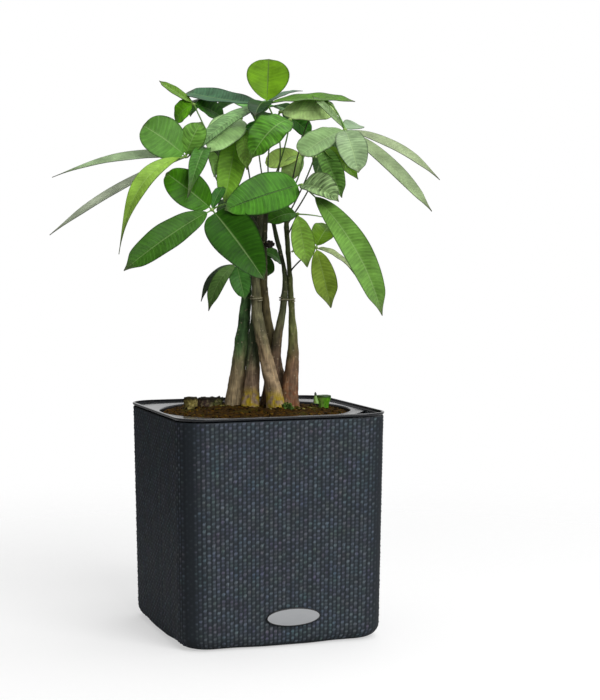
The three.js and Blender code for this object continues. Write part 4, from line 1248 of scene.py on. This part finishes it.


# ---- leaves ----
# Each compound leaf leaves its stem at height foot, heads for via and ends at its hub, all in millimetres in
# the crown's frame. A leaflet is a folded blade from the hub to its tip and wide is its width. arch lifts its
# middle along its upper face, bend carries it sideways, tilt turns that face from the sky (0) to the front
# (90), and fold, also in degrees, lifts both halves along the midrib. widest says how far along the widest
# place lies, full how quickly it narrows from there, tail where its drip tip begins, wavy how much its edges
# ripple and stalk how much of its length is bare. green is its colour; some greens hold painted light, made
# paler to stand in for light a leaflet misses in shade and for a sheen on it, as marked where they stand. rib
# says how dark its midrib is painted (0 pale, 1 dark), a painted shade for a midrib seen against light
# coming through the blade, and veins how strongly its veins show.
LEAVES = {
    "leaf_top": dict(
        stem="trunk_centre_right", foot=284, via=(26, 6, 318), hub=(8, 0, 349), slot="bright_leaf", leaflets=(
            dict(tip=(9.5, 11, 379), wide=28.6, arch=1.5, tilt=80, fold=5, widest=0.58, full=1.3, tail=0.96,
                 wavy=0.3, green="6C9C14", rib=0.6, veins=0.12),
            dict(tip=(66, -10, 349.5), wide=18, arch=2.6, tilt=20, fold=10, full=1.1, tail=0.8,
                 green="528214", veins=0.2),
            dict(tip=(-46, 38, 359), wide=22, arch=-1.5, tilt=28, widest=0.66, full=1.1, stalk=0.1, tail=0.95,
                 green="446E4C", veins=0.35),
            dict(tip=(33, 48, 361), wide=7, arch=2, tilt=10, green="4E6E52"),
            dict(tip=(-43, -46, 311), wide=12.5, arch=6, tilt=30, full=1.4, green="6C9258", veins=0.45),
            dict(tip=(0, -36, 338), wide=16, arch=4, tilt=20, green="123A10", veins=0.2))),
    "leaf_left_front": dict(
        stem="trunk_left", foot=276, via=(-34, -6, 346), hub=(-44, -44, 312), slot="pale_leaf", leaflets=(
            dict(tip=(-70.8, -48, 331.3), wide=28, arch=3, tilt=65, widest=0.55, full=1.0, tail=0.97, fold=8,
                 wavy=0.4, green="558632", veins=0.2),
            # painted highlight: the pale grey-greens of these two leaflets carry the sheen of light on them
            dict(tip=(-130, -36, 299), wide=17, arch=5, tilt=22, widest=0.3, full=1.6, tail=0.62, wavy=0.3,
                 green="98B284", veins=0.08),
            dict(tip=(-129, -62, 262), wide=10, arch=4, tilt=26, widest=0.45, tail=0.7, wavy=0.3,
                 green="A2AC94", veins=0.08),
            dict(tip=(-84, -84, 250), wide=13, arch=18.5, bend=-3, tilt=34, widest=0.38, full=2.2, tail=0.5,
                 wavy=0.5, green="84AC40", veins=0.12),
            dict(tip=(-34, -42, 334), wide=17, arch=3, tilt=60, fold=8, green="64943A", veins=0.45))),
    "leaf_left_low": dict(
        stem="trunk_front", foot=266, via=(-8, -34, 290), hub=(-27, -58, 278), slot="leaf", leaflets=(
            dict(tip=(-56, -56, 301), wide=23, arch=3, tilt=75, fold=8, full=1.1, tail=0.95, green="3F780E",
                 veins=0.25),
            dict(tip=(-81, -84, 240), wide=20, arch=4, tilt=60, widest=0.5, green="3C6A1C", veins=0.25),
            dict(tip=(6, -84, 234), wide=31, arch=4, tilt=68, widest=0.36, tail=0.92, green="28560A",
                 veins=0.25),
            dict(tip=(-20, -40, 293), wide=8, arch=2, tilt=30, green="356A24"))),
    "leaf_front": dict(
        stem="trunk_right", foot=279, via=(26, -24, 296), hub=(30, -48, 294), slot="leaf", leaflets=(
            dict(tip=(-19, -66, 277.5), wide=28, arch=3, tilt=70, widest=0.42, full=1.15, tail=0.92,
                 green="447E1E", rib=1.0, veins=0.3),
            dict(tip=(79, -84, 212), wide=19, arch=3, bend=7, tilt=60, widest=0.5, stalk=0.12, green="66923C",
                 veins=0.25),
            dict(tip=(53, -62, 283), wide=22, arch=4, tilt=50, fold=30, widest=0.4, green="76905E",
                 veins=0.9))),
    "leaf_right_high": dict(
        stem="trunk_right", foot=283, via=(40, 6, 385), hub=(58, -34, 330), slot="pale_leaf", leaflets=(
            # painted light: the pale greens of this leaf's leaflets carry the light that falls on it from the
            # upper right
            dict(tip=(29, -52, 312.5), wide=20, arch=2, tilt=45, widest=0.62, full=1.0, tail=0.95,
                 green="7FA066", veins=0.2),
            dict(tip=(65, -66, 301), wide=20, arch=4, tilt=62, full=1.15, tail=0.9, green="90AC7C",
                 veins=0.3),
            dict(tip=(121, -20, 298), wide=14, arch=5, tilt=30, tail=0.68, wavy=0.3, green="94A47C",
                 veins=0.08),
            dict(tip=(113, -50, 277), wide=12, arch=4, tilt=35, widest=0.45, tail=0.8, wavy=0.3,
                 green="8CA074", veins=0.1),
            dict(tip=(38, -8, 353), wide=5, arch=2, tilt=50, wavy=0.0, green="76925E", veins=0.4),
            dict(tip=(70, 8, 335), wide=13, arch=1, tilt=65, tail=0.9, wavy=0.0, green="8CAC80"))),
    "leaf_right_upper": dict(
        stem="trunk_back_right", foot=282, via=(4, 8, 318), hub=(17, 6, 344), slot="bright_leaf", leaflets=(
            # painted light: this leaflet is made very pale to stand in for the light it misses under the leaf
            # above, and for the grey-white sheen on its right third
            dict(tip=(55, -15, 341), wide=20, arch=2, tilt=58, full=1.1, green="CCEE98", veins=0.12),
            dict(tip=(38, 12, 328), wide=17, arch=2, tilt=50, green="3A7420", veins=0.5),
            dict(tip=(34, 62, 338), wide=20, arch=5, tilt=20, green="4E8A34"))),
    "leaf_front_high": dict(
        stem="trunk_front", foot=284, via=(20, -14, 312), hub=(23, -22, 337), slot="leaf", leaflets=(
            dict(tip=(-3, -44, 310), wide=24, arch=8, tilt=50, widest=0.45, wavy=3.0, green="487C20",
                 veins=0.5),
            dict(tip=(-8, -20, 330), wide=14, arch=1, tilt=30, green="3C7A2A", veins=0.7))),
    "leaf_centre_left": dict(
        stem="trunk_middle", foot=284, via=(-6, -2, 315), hub=(-9, -4, 339), slot="bright_leaf", leaflets=(
            # painted light: these greens are made paler to stand in for the light the leaflets miss in the
            # shade of the leaves above
            dict(tip=(-30, -42, 314), wide=23, arch=4, tilt=70, fold=12, widest=0.45, green="9CC47C",
                 veins=0.12),
            dict(tip=(-5, -28, 304), wide=12, arch=3, tilt=80, green="9CCC58"),
            dict(tip=(-20, -16, 283), wide=19, arch=3, tilt=80, widest=0.5, green="82B83A", veins=0.2))),
    "leaf_left_inner": dict(
        stem="trunk_left", foot=268, via=(-28, 2, 296), hub=(-31, -24, 318), slot="leaf", leaflets=(
            dict(tip=(-42, -70, 285), wide=12, arch=12, tilt=75, fold=24, tail=0.6, green="44762A"),
            dict(tip=(-26, -6, 300), wide=11, arch=2, tilt=50, green="9ACC66"))),
    "leaf_left_high": dict(
        stem="trunk_left", foot=283, via=(-30, 22, 325), hub=(-41, 22, 350), slot="bright_leaf", leaflets=(
            dict(tip=(-65, 40, 367), wide=8, arch=0, tilt=30, green="5E8622"),
            dict(tip=(-54, 30, 339.5), wide=17, arch=2, tilt=52, fold=8, tail=0.95, green="64A81C"),
            dict(tip=(-20, 38, 340), wide=19, arch=2, tilt=52, green="3E7622", veins=0.5),
            dict(tip=(-45, 72, 345), wide=14, arch=6, tilt=20, green="4E8A34"))),
    "leaf_back_small": dict(
        stem="trunk_back_right", foot=278, via=(30, 14, 292), hub=(33, 28, 316), slot="bright_leaf",
        leaflets=(
            # painted light: the first three leaflets' pale greens stand in for the light they miss in shade
            dict(tip=(7, 34, 311), wide=16, arch=1, tilt=60, widest=0.55, tail=0.95, wavy=0.0, green="CCF07C",
                 veins=0.15),
            dict(tip=(20, 30, 299), wide=14, arch=2, tilt=65, wavy=0.3, green="B8DC80", veins=0.2),
            dict(tip=(46, 52, 314), wide=13, arch=2, tilt=55, wavy=0.3, green="B4D680"),
            dict(tip=(22, 74, 306), wide=18, arch=5, tilt=20, green="4E8A34"))),
    "leaf_right_inner": dict(
        stem="trunk_right", foot=275, via=(36, -4, 300), hub=(42, -12, 322), slot="leaf", leaflets=(
            dict(tip=(56, -38, 286), wide=16, arch=3, tilt=60, fold=28, green="78AC4E", veins=0.55),
            dict(tip=(67, -30, 298), wide=11, arch=2, tilt=45, fold=24, green="7CAC34", veins=0.4))),
    "leaf_middle_low": dict(
        stem="trunk_right", foot=262, via=(26, -8, 270), hub=(28, -16, 276), slot="leaf", leaflets=(
            dict(tip=(8, -22, 270), wide=15, arch=3, tilt=50, green="3E7018"),
            dict(tip=(34, -30, 241), wide=15.5, arch=3, tilt=80, widest=0.55, tail=0.7, green="98C850",
                 veins=0.25),
            dict(tip=(62, -2, 268), wide=12, arch=2, tilt=20, stalk=0.5, green="5A8A3A"))),
    "leaf_right_low": dict(
        stem="trunk_right", foot=238, via=(31, -5, 247), hub=(40, -18, 254), slot="bright_leaf", leaflets=(
            dict(tip=(49, -40, 215), wide=16, arch=3, tilt=75, widest=0.55, tail=0.7, green="8CAA3C",
                 veins=0.2),
            dict(tip=(66, -6, 236), wide=12, arch=3, tilt=25, green="98A874"),
            dict(tip=(50, 2, 268), wide=17, arch=3, tilt=50, widest=0.55, full=1.1, tail=0.95, green="6A9420",
                 veins=0.2),
            dict(tip=(24, -2, 251), wide=9, arch=1, tilt=40, green="A4B864"))),
    "leaf_lower_left": dict(
        stem="trunk_left", foot=240, via=(-13, 0, 247), hub=(-12, -24, 243), slot="leaf", leaflets=(
            dict(tip=(-30, -38, 213), wide=10, arch=10, tilt=45, tail=0.75, green="5E8240"),
            dict(tip=(-35, -32, 219), wide=6, arch=9, tilt=40, tail=0.7, green="4E5E4A"),
            dict(tip=(-6.5, -31, 220), wide=14, arch=3, tilt=85, widest=0.42, green="40702E"))),
    "leaf_behind_low": dict(
        stem="trunk_centre_right", foot=244, via=(5, 14, 249), hub=(5, 20, 251), slot="leaf", leaflets=(
            dict(tip=(18, 32, 243), wide=12, arch=2, tilt=50, green="3A6A1E"),
            dict(tip=(9, 30, 234), wide=11, arch=3, tilt=70, green="3A6A1E"))),
    "leaf_back_left": dict(
        stem="trunk_left", foot=276, via=(-14, 26, 306), hub=(-22, 44, 330), slot="leaf", leaflets=(
            dict(tip=(-40, 78, 323), wide=22, arch=6, tilt=10, green="4A8A34"),
            dict(tip=(-26, 106, 316), wide=24, arch=8, tilt=5, green="3E7E2C"),
            dict(tip=(-8, 94, 308), wide=22, arch=8, tilt=5, green="56963C"),
            dict(tip=(-18, 66, 294), wide=16, arch=5, tilt=5, green="447A30"))),
    "leaf_back_right": dict(
        stem="trunk_right", foot=270, via=(44, 14, 300), hub=(48, 44, 326), slot="leaf", leaflets=(
            dict(tip=(66, 72, 328), wide=20, arch=6, tilt=10, green="56963C"),
            dict(tip=(42, 102, 318), wide=24, arch=8, tilt=5, green="447F30"),
            dict(tip=(62, 92, 308), wide=22, arch=8, tilt=5, green="4A8A34"),
            dict(tip=(48, 80, 298), wide=16, arch=5, tilt=5, green="3C7A2A"))),
    "leaf_back_top": dict(
        stem="trunk_centre_right", foot=287, via=(2, 26, 318), hub=(0, 40, 345), slot="leaf", leaflets=(
            dict(tip=(-24, 74, 350), wide=20, arch=6, tilt=10, green="5FA044"),
            dict(tip=(2, 104, 346), wide=24, arch=9, tilt=5, green="4C8E36"),
            dict(tip=(28, 88, 346), wide=20, arch=6, tilt=5, green="58983E"),
            dict(tip=(10, 76, 332), wide=16, arch=5, tilt=5, green="3E7E2C"))),
    "leaf_back_low": dict(
        stem="trunk_left", foot=262, via=(-4, 30, 284), hub=(0, 46, 288), slot="leaf", leaflets=(
            dict(tip=(-24, 74, 274), wide=20, arch=6, tilt=10, green="3A7628"),
            dict(tip=(4, 104, 276), wide=24, arch=8, tilt=5, green="447F30"),
            dict(tip=(20, 82, 280), wide=18, arch=6, tilt=5, green="3E7A2C"),
            dict(tip=(-6, 64, 260), wide=16, arch=5, tilt=5, green="36702A"))),
}


class Leaflet:
    """The curved frame of one blade: its midrib and the directions across it and out of its upper face."""

    def __init__(self, hub, tip, wide, green, arch=4, bend=0, tilt=40, fold=14, widest=0.5, stalk=0.06,
                 full=1.3, tail=0.84, wavy=1.0, rib=0.0, veins=0.3):
        self.start, self.end = Vector(hub), Vector(tip)
        self.wide, self.fold, self.widest, self.stalk = wide, radians(fold), widest, stalk
        self.full, self.tail, self.wavy = full, tail, wavy
        self.green, self.rib, self.veins = green, rib, veins
        along = (self.end - self.start).normalized()
        face = Vector((0, -sin(radians(tilt)), cos(radians(tilt))))
        self.face = (face - along * face.dot(along)).normalized()
        self.middle = (self.start + self.end) / 2 + self.face * 2 * arch + self.face.cross(along) * 2 * bend
        self.length = (self.end - self.start).length

    def at(self, t):
        """The midrib's point at a share of its length, with the directions out of the face and across."""
        point = bezier(self.start, self.middle, self.end, t)
        run = ((self.middle - self.start) * (1 - t) + (self.end - self.middle) * t).normalized()
        normal = (self.face - run * self.face.dot(run)).normalized()
        return point, normal, run.cross(normal)

    def half(self, share):
        """Half the blade's width: full in the middle, drawn out to a short drip tip."""
        lower, upper = self.widest * self.full, (1 - self.widest) * self.full
        share = min(1.0, max(0.0, share))
        swell = (share / self.widest) ** lower * ((1 - share) / (1 - self.widest)) ** upper
        drip = 1 - 0.65 * eased(share, self.tail, 1.0)
        return max(self.wide / 2 * swell * drip, 0.5 if share < 0.5 else 0.3 - 0.15 * share)


class BuildLeaves(bpy.types.Operator):
    """Makes every compound leaf: its stalk, hub, folded and rippled blades and their ribs"""
    bl_idname = "money_tree.leaves"
    bl_label = "Leaves"

    ACROSS = 12
    ALONG = 44
    HUB_RADIUS = 1.35

    def execute(self, context):
        settings = context.scene.leaves
        looks = leaf_upper(settings), leaf_under(settings), leaf_stalk()
        for number, (name, leaf) in enumerate(LEAVES.items()):
            piece = self.compound(name, leaf, settings, looks, Random(100 + number))
            settled(piece, name, slot=leaf["slot"])
        return {"FINISHED"}

    def compound(self, name, leaf, settings, looks, random):
        """One leaf: its blades, thickened together, then its stalk, hub and ribs."""
        leaflets = [Leaflet(leaf["hub"], **spec) for spec in leaf["leaflets"]]
        blades = joined(name + "_blades", [self.blade(each, settings, random) for each in leaflets])
        blades.data.materials.append(looks[0])
        blades.data.materials.append(looks[1])
        thicken = blades.modifiers.new("thicken", "SOLIDIFY")
        thicken.thickness, thicken.offset, thicken.material_offset = settings.thickness, -1, 1
        only(blades)
        bpy.ops.object.modifier_apply(modifier=thicken.name)
        stalks = [self.stalk(leaf, settings), self.hub(leaf)] + [self.midrib(each) for each in leaflets]
        for part in stalks:
            part.data.materials.append(looks[2])
        return smoothed(joined(name + "_blades", [blades] + stalks), 60)

    def blade(self, leaflet, settings, random):
        """One flat grid bent into the folded blade, its edges rippled."""
        ripple = settings.ripple / MM * min(1.0, leaflet.wide / 20) * leaflet.wavy
        waves, start = random.uniform(2.2, 3.6), random.uniform(0, tau)
        lag = random.uniform(1.0, 2.4)
        colour = linear(leaflet.green)
        tone = random.uniform(0.97, 1.03)
        withered = linear("4E4A3C")

        def place(column, row):
            side = column / self.ACROSS * 2 - 1
            share = row / self.ALONG
            point, normal, across = leaflet.at(leaflet.stalk + (1 - leaflet.stalk) * share)
            half = leaflet.half(share)
            out = side * half
            lift = abs(out) * sin(leaflet.fold) * (1.12 - 0.24 * abs(side))
            wave = sin(waves * tau * share + start + (lag if side > 0 else 0.0))
            lift += ripple * wave * abs(side) ** 2 * eased(share, 0.02, 0.2) * eased(share, 1.0, 0.8)
            spot = point + across * out * cos(leaflet.fold) + normal * lift
            return in_crown(*spot)

        def tint(column, row):
            share = row / self.ALONG
            shade = tone * (1 + 0.08 * sin(3.1 * share + start))
            age = 0.7 * eased(share, 0.3 + 0.65 * leaflet.tail, 1.0)
            # the alpha is how dark the midrib is painted, a painted shade for a midrib lit from behind
            return (*mixed(tuple(c * shade for c in colour), withered, age), leaflet.rib)

        piece = sheet("blade", self.ACROSS, self.ALONG, place,
                      {"tint": tint, "vein_strength": lambda column, row: leaflet.veins}, close=False)
        for corner in piece.data.uv_layers[0].data:
            corner.uv.y *= leaflet.length / 100
        return piece

    def midrib(self, leaflet):
        """The raised rib under a blade, from the hub nearly to the tip."""
        steps = 26
        path = []
        for k in range(steps + 1):
            t = 0.97 * k / steps
            point, normal, _ = leaflet.at(t)
            thick = 0.6 * (1 - t) + 0.14
            path.append(in_crown(*(point - normal * thick * 0.62)))
        green = mixed(linear(leaflet.green), linear("8FB45C"), 0.45)

        def radius(share, angle):
            return (0.6 * (1 - 0.97 * share) + 0.14) * 0.72 * MM

        return tube("rib", path, radius, 6, {"tint": lambda column, row: (*green, 1.0)})

    def stalk(self, leaf, settings):
        """The long stalk from the stem to the hub, swollen at both ends."""
        x, y, z, radius = stem_at(leaf["stem"], leaf["foot"], smooth=False)
        heading = Vector(leaf["via"]) - Vector((x, y, z))
        level = Vector((heading.x, heading.y, 0)).normalized()
        start = Vector((x, y, z)) + level * radius * 0.55
        steps = 30
        via, hub = Vector(leaf["via"]), Vector(leaf["hub"])
        path = [in_crown(*bezier(start, via, hub, k / steps)) for k in range(steps + 1)]
        thin = settings.stalk_radius
        brown, green = linear("3A3E26"), linear("5E8A34")

        def thickness(share, angle):
            return thin * (1 + 0.75 * exp(-(share / 0.06) ** 2) + 0.7 * exp(-((1 - share) / 0.05) ** 2))

        return tube("stalk", path, thickness, 8,
                    {"tint": lambda column, row: (*mixed(brown, green, eased(row / steps, 0.15, 0.95)), 1.0)})

    def hub(self, leaf):
        """The small knuckle where the leaflets meet, a little flat and just under them."""
        piece = started(bpy.ops.mesh.primitive_uv_sphere_add, segments=14, ring_count=8, radius=1)
        x, y, z = leaf["hub"]
        for vertex in piece.data.vertices:
            co = vertex.co * self.HUB_RADIUS
            vertex.co = in_crown(x + co.x, y + co.y, z + co.z * 0.8 - 0.3)
        return tinted(piece, "86A84E")


# ---- the studio ----
class BuildStudio(bpy.types.Operator):
    """Lays the pale floor, sets the soft lights and the camera"""
    bl_idname = "money_tree.studio"
    bl_label = "Studio"

    CAMERA_AT = (-0.3650, -1.1343, 0.2620)
    LOOKING = (0.3295, 0.9420, -0.0642)
    AIM = (0.0, 0.0, 0.2)
    # towards the bright wall behind the part
    WALL = (0.45, 0.88, 0.12)

    def execute(self, context):
        settings = context.scene.studio
        floor = started(bpy.ops.mesh.primitive_plane_add, size=1.6, location=(0, 0, -0.0004))
        floor.name = floor.data.name = "paper_floor"
        bpy.ops.object.transform_apply(location=True, rotation=True, scale=True)
        floor.data.materials.append(seamless_paper(settings))

        self.light("key_light", at=(0.35, -1.45, 1.1), size=1.2, power=settings.key)
        self.light("top_light", at=(0.3, 0.15, 1.6), size=1.3, power=settings.top)
        self.surround(settings)
        self.camera(settings)
        context.scene.view_settings.view_transform = "Standard"
        context.scene.view_settings.look = "None"
        return {"FINISHED"}

    def light(self, name, at, size, power):
        """A square soft light turned to the part."""
        bpy.ops.object.light_add(type="AREA", location=at)
        lamp = bpy.context.object
        lamp.name = lamp.data.name = name
        lamp.data.shape, lamp.data.size, lamp.data.energy = "SQUARE", size, power
        lamp.rotation_euler = (Vector(self.AIM) - Vector(at)).to_track_quat("-Z", "Y").to_euler()

    def surround(self, settings):
        """White paper all round: white where it is seen, a soft light on the part and brighter behind it."""
        world = bpy.data.worlds.new("white_surround")
        bpy.context.scene.world = world
        world.use_nodes = True
        tree = world.node_tree
        tree.nodes.clear()
        facing = add(tree, "ShaderNodeTexCoord").outputs["Generated"]
        height = add(tree, "ShaderNodeSeparateXYZ", {0: facing}).outputs[2]
        sky = add(tree, "ShaderNodeMapRange", {"Value": height, "From Min": -0.15, "From Max": 0.2,
                                               "To Min": settings.surround * 0.35,
                                               "To Max": settings.surround}).outputs[0]
        # dimmer towards the left
        rightward = add(tree, "ShaderNodeSeparateXYZ", {0: facing}).outputs[0]
        dimming = add(tree, "ShaderNodeMapRange", {"Value": rightward, "From Min": -0.8, "From Max": 0.3,
                                                   "To Min": 0.5}).outputs[0]
        soft = add(tree, "ShaderNodeMath", {0: sky, 1: dimming}, operation="MULTIPLY").outputs[0]
        behind = add(tree, "ShaderNodeVectorMath", {0: facing, 1: self.WALL},
                     operation="DOT_PRODUCT").outputs["Value"]
        wall = add(tree, "ShaderNodeMapRange", {"Value": behind, "From Min": 0.8, "From Max": 0.97,
                                                "To Max": settings.back_glow},
                   interpolation_type="SMOOTHSTEP").outputs[0]
        lit = add(tree, "ShaderNodeMath", {0: soft, 1: wall}, operation="ADD").outputs[0]
        seen = add(tree, "ShaderNodeLightPath").outputs["Is Camera Ray"]
        level = add(tree, "ShaderNodeMix", {"Factor": seen, 2: lit, 3: 1.0}).outputs[0]
        backdrop = add(tree, "ShaderNodeBackground", {"Color": (1, 1, 1, 1), "Strength": level})
        add(tree, "ShaderNodeOutputWorld", {"Surface": backdrop.outputs[0]})

    def camera(self, settings):
        """The camera that took the photograph, as fitted to it."""
        bpy.ops.object.camera_add(location=self.CAMERA_AT)
        camera = bpy.context.object
        camera.name = camera.data.name = "photo_camera"
        camera.rotation_euler = Vector(self.LOOKING).to_track_quat("-Z", "Y").to_euler()
        camera.data.lens, camera.data.sensor_width = settings.lens, 36.0
        camera.data.clip_start, camera.data.clip_end = 0.05, 60.0
        bpy.context.scene.camera = camera


class MoneyTreePanel(bpy.types.Panel):
    """Lists the steps that dress the part, in order, and their settings"""
    bl_idname = "VIEW3D_PT_money_tree"
    bl_label = "Potted money tree"
    bl_space_type = "VIEW_3D"
    bl_region_type = "UI"
    bl_category = "Money Tree"

    def draw(self, context):
        for step in STEPS:
            self.layout.operator(step.bl_idname)
        for group, kind in SETTINGS.items():
            box = self.layout.box()
            box.label(text=group.capitalize())
            for label in kind.__annotations__:
                box.prop(getattr(context.scene, group), label)


SETTINGS = {"planter": PlanterSettings, "soil": SoilSettings, "stems": StemSettings, "leaves": LeafSettings,
            "studio": StudioSettings}
STEPS = (BuildStudio, BuildWovenPlanter, BuildLiner, BuildBadge, BuildSoil, BuildStems, BuildTies, BuildStubs,
         BuildLeaves)


def register():
    for kind in (*SETTINGS.values(), *STEPS, MoneyTreePanel):
        bpy.utils.register_class(kind)
    for group, kind in SETTINGS.items():
        setattr(bpy.types.Scene, group, bpy.props.PointerProperty(type=kind))


def unregister():
    for group in SETTINGS:
        delattr(bpy.types.Scene, group)
    for kind in (MoneyTreePanel, *reversed(STEPS), *reversed(list(SETTINGS.values()))):
        bpy.utils.unregister_class(kind)


def main():
    register()
    bpy.ops.money_tree.studio()
    bpy.ops.money_tree.woven_planter()
    bpy.ops.money_tree.liner()
    bpy.ops.money_tree.badge()
    bpy.ops.money_tree.soil()
    bpy.ops.money_tree.stems()
    bpy.ops.money_tree.ties()
    bpy.ops.money_tree.stubs()
    bpy.ops.money_tree.leaves()


if __name__ == "__main__":
    main()
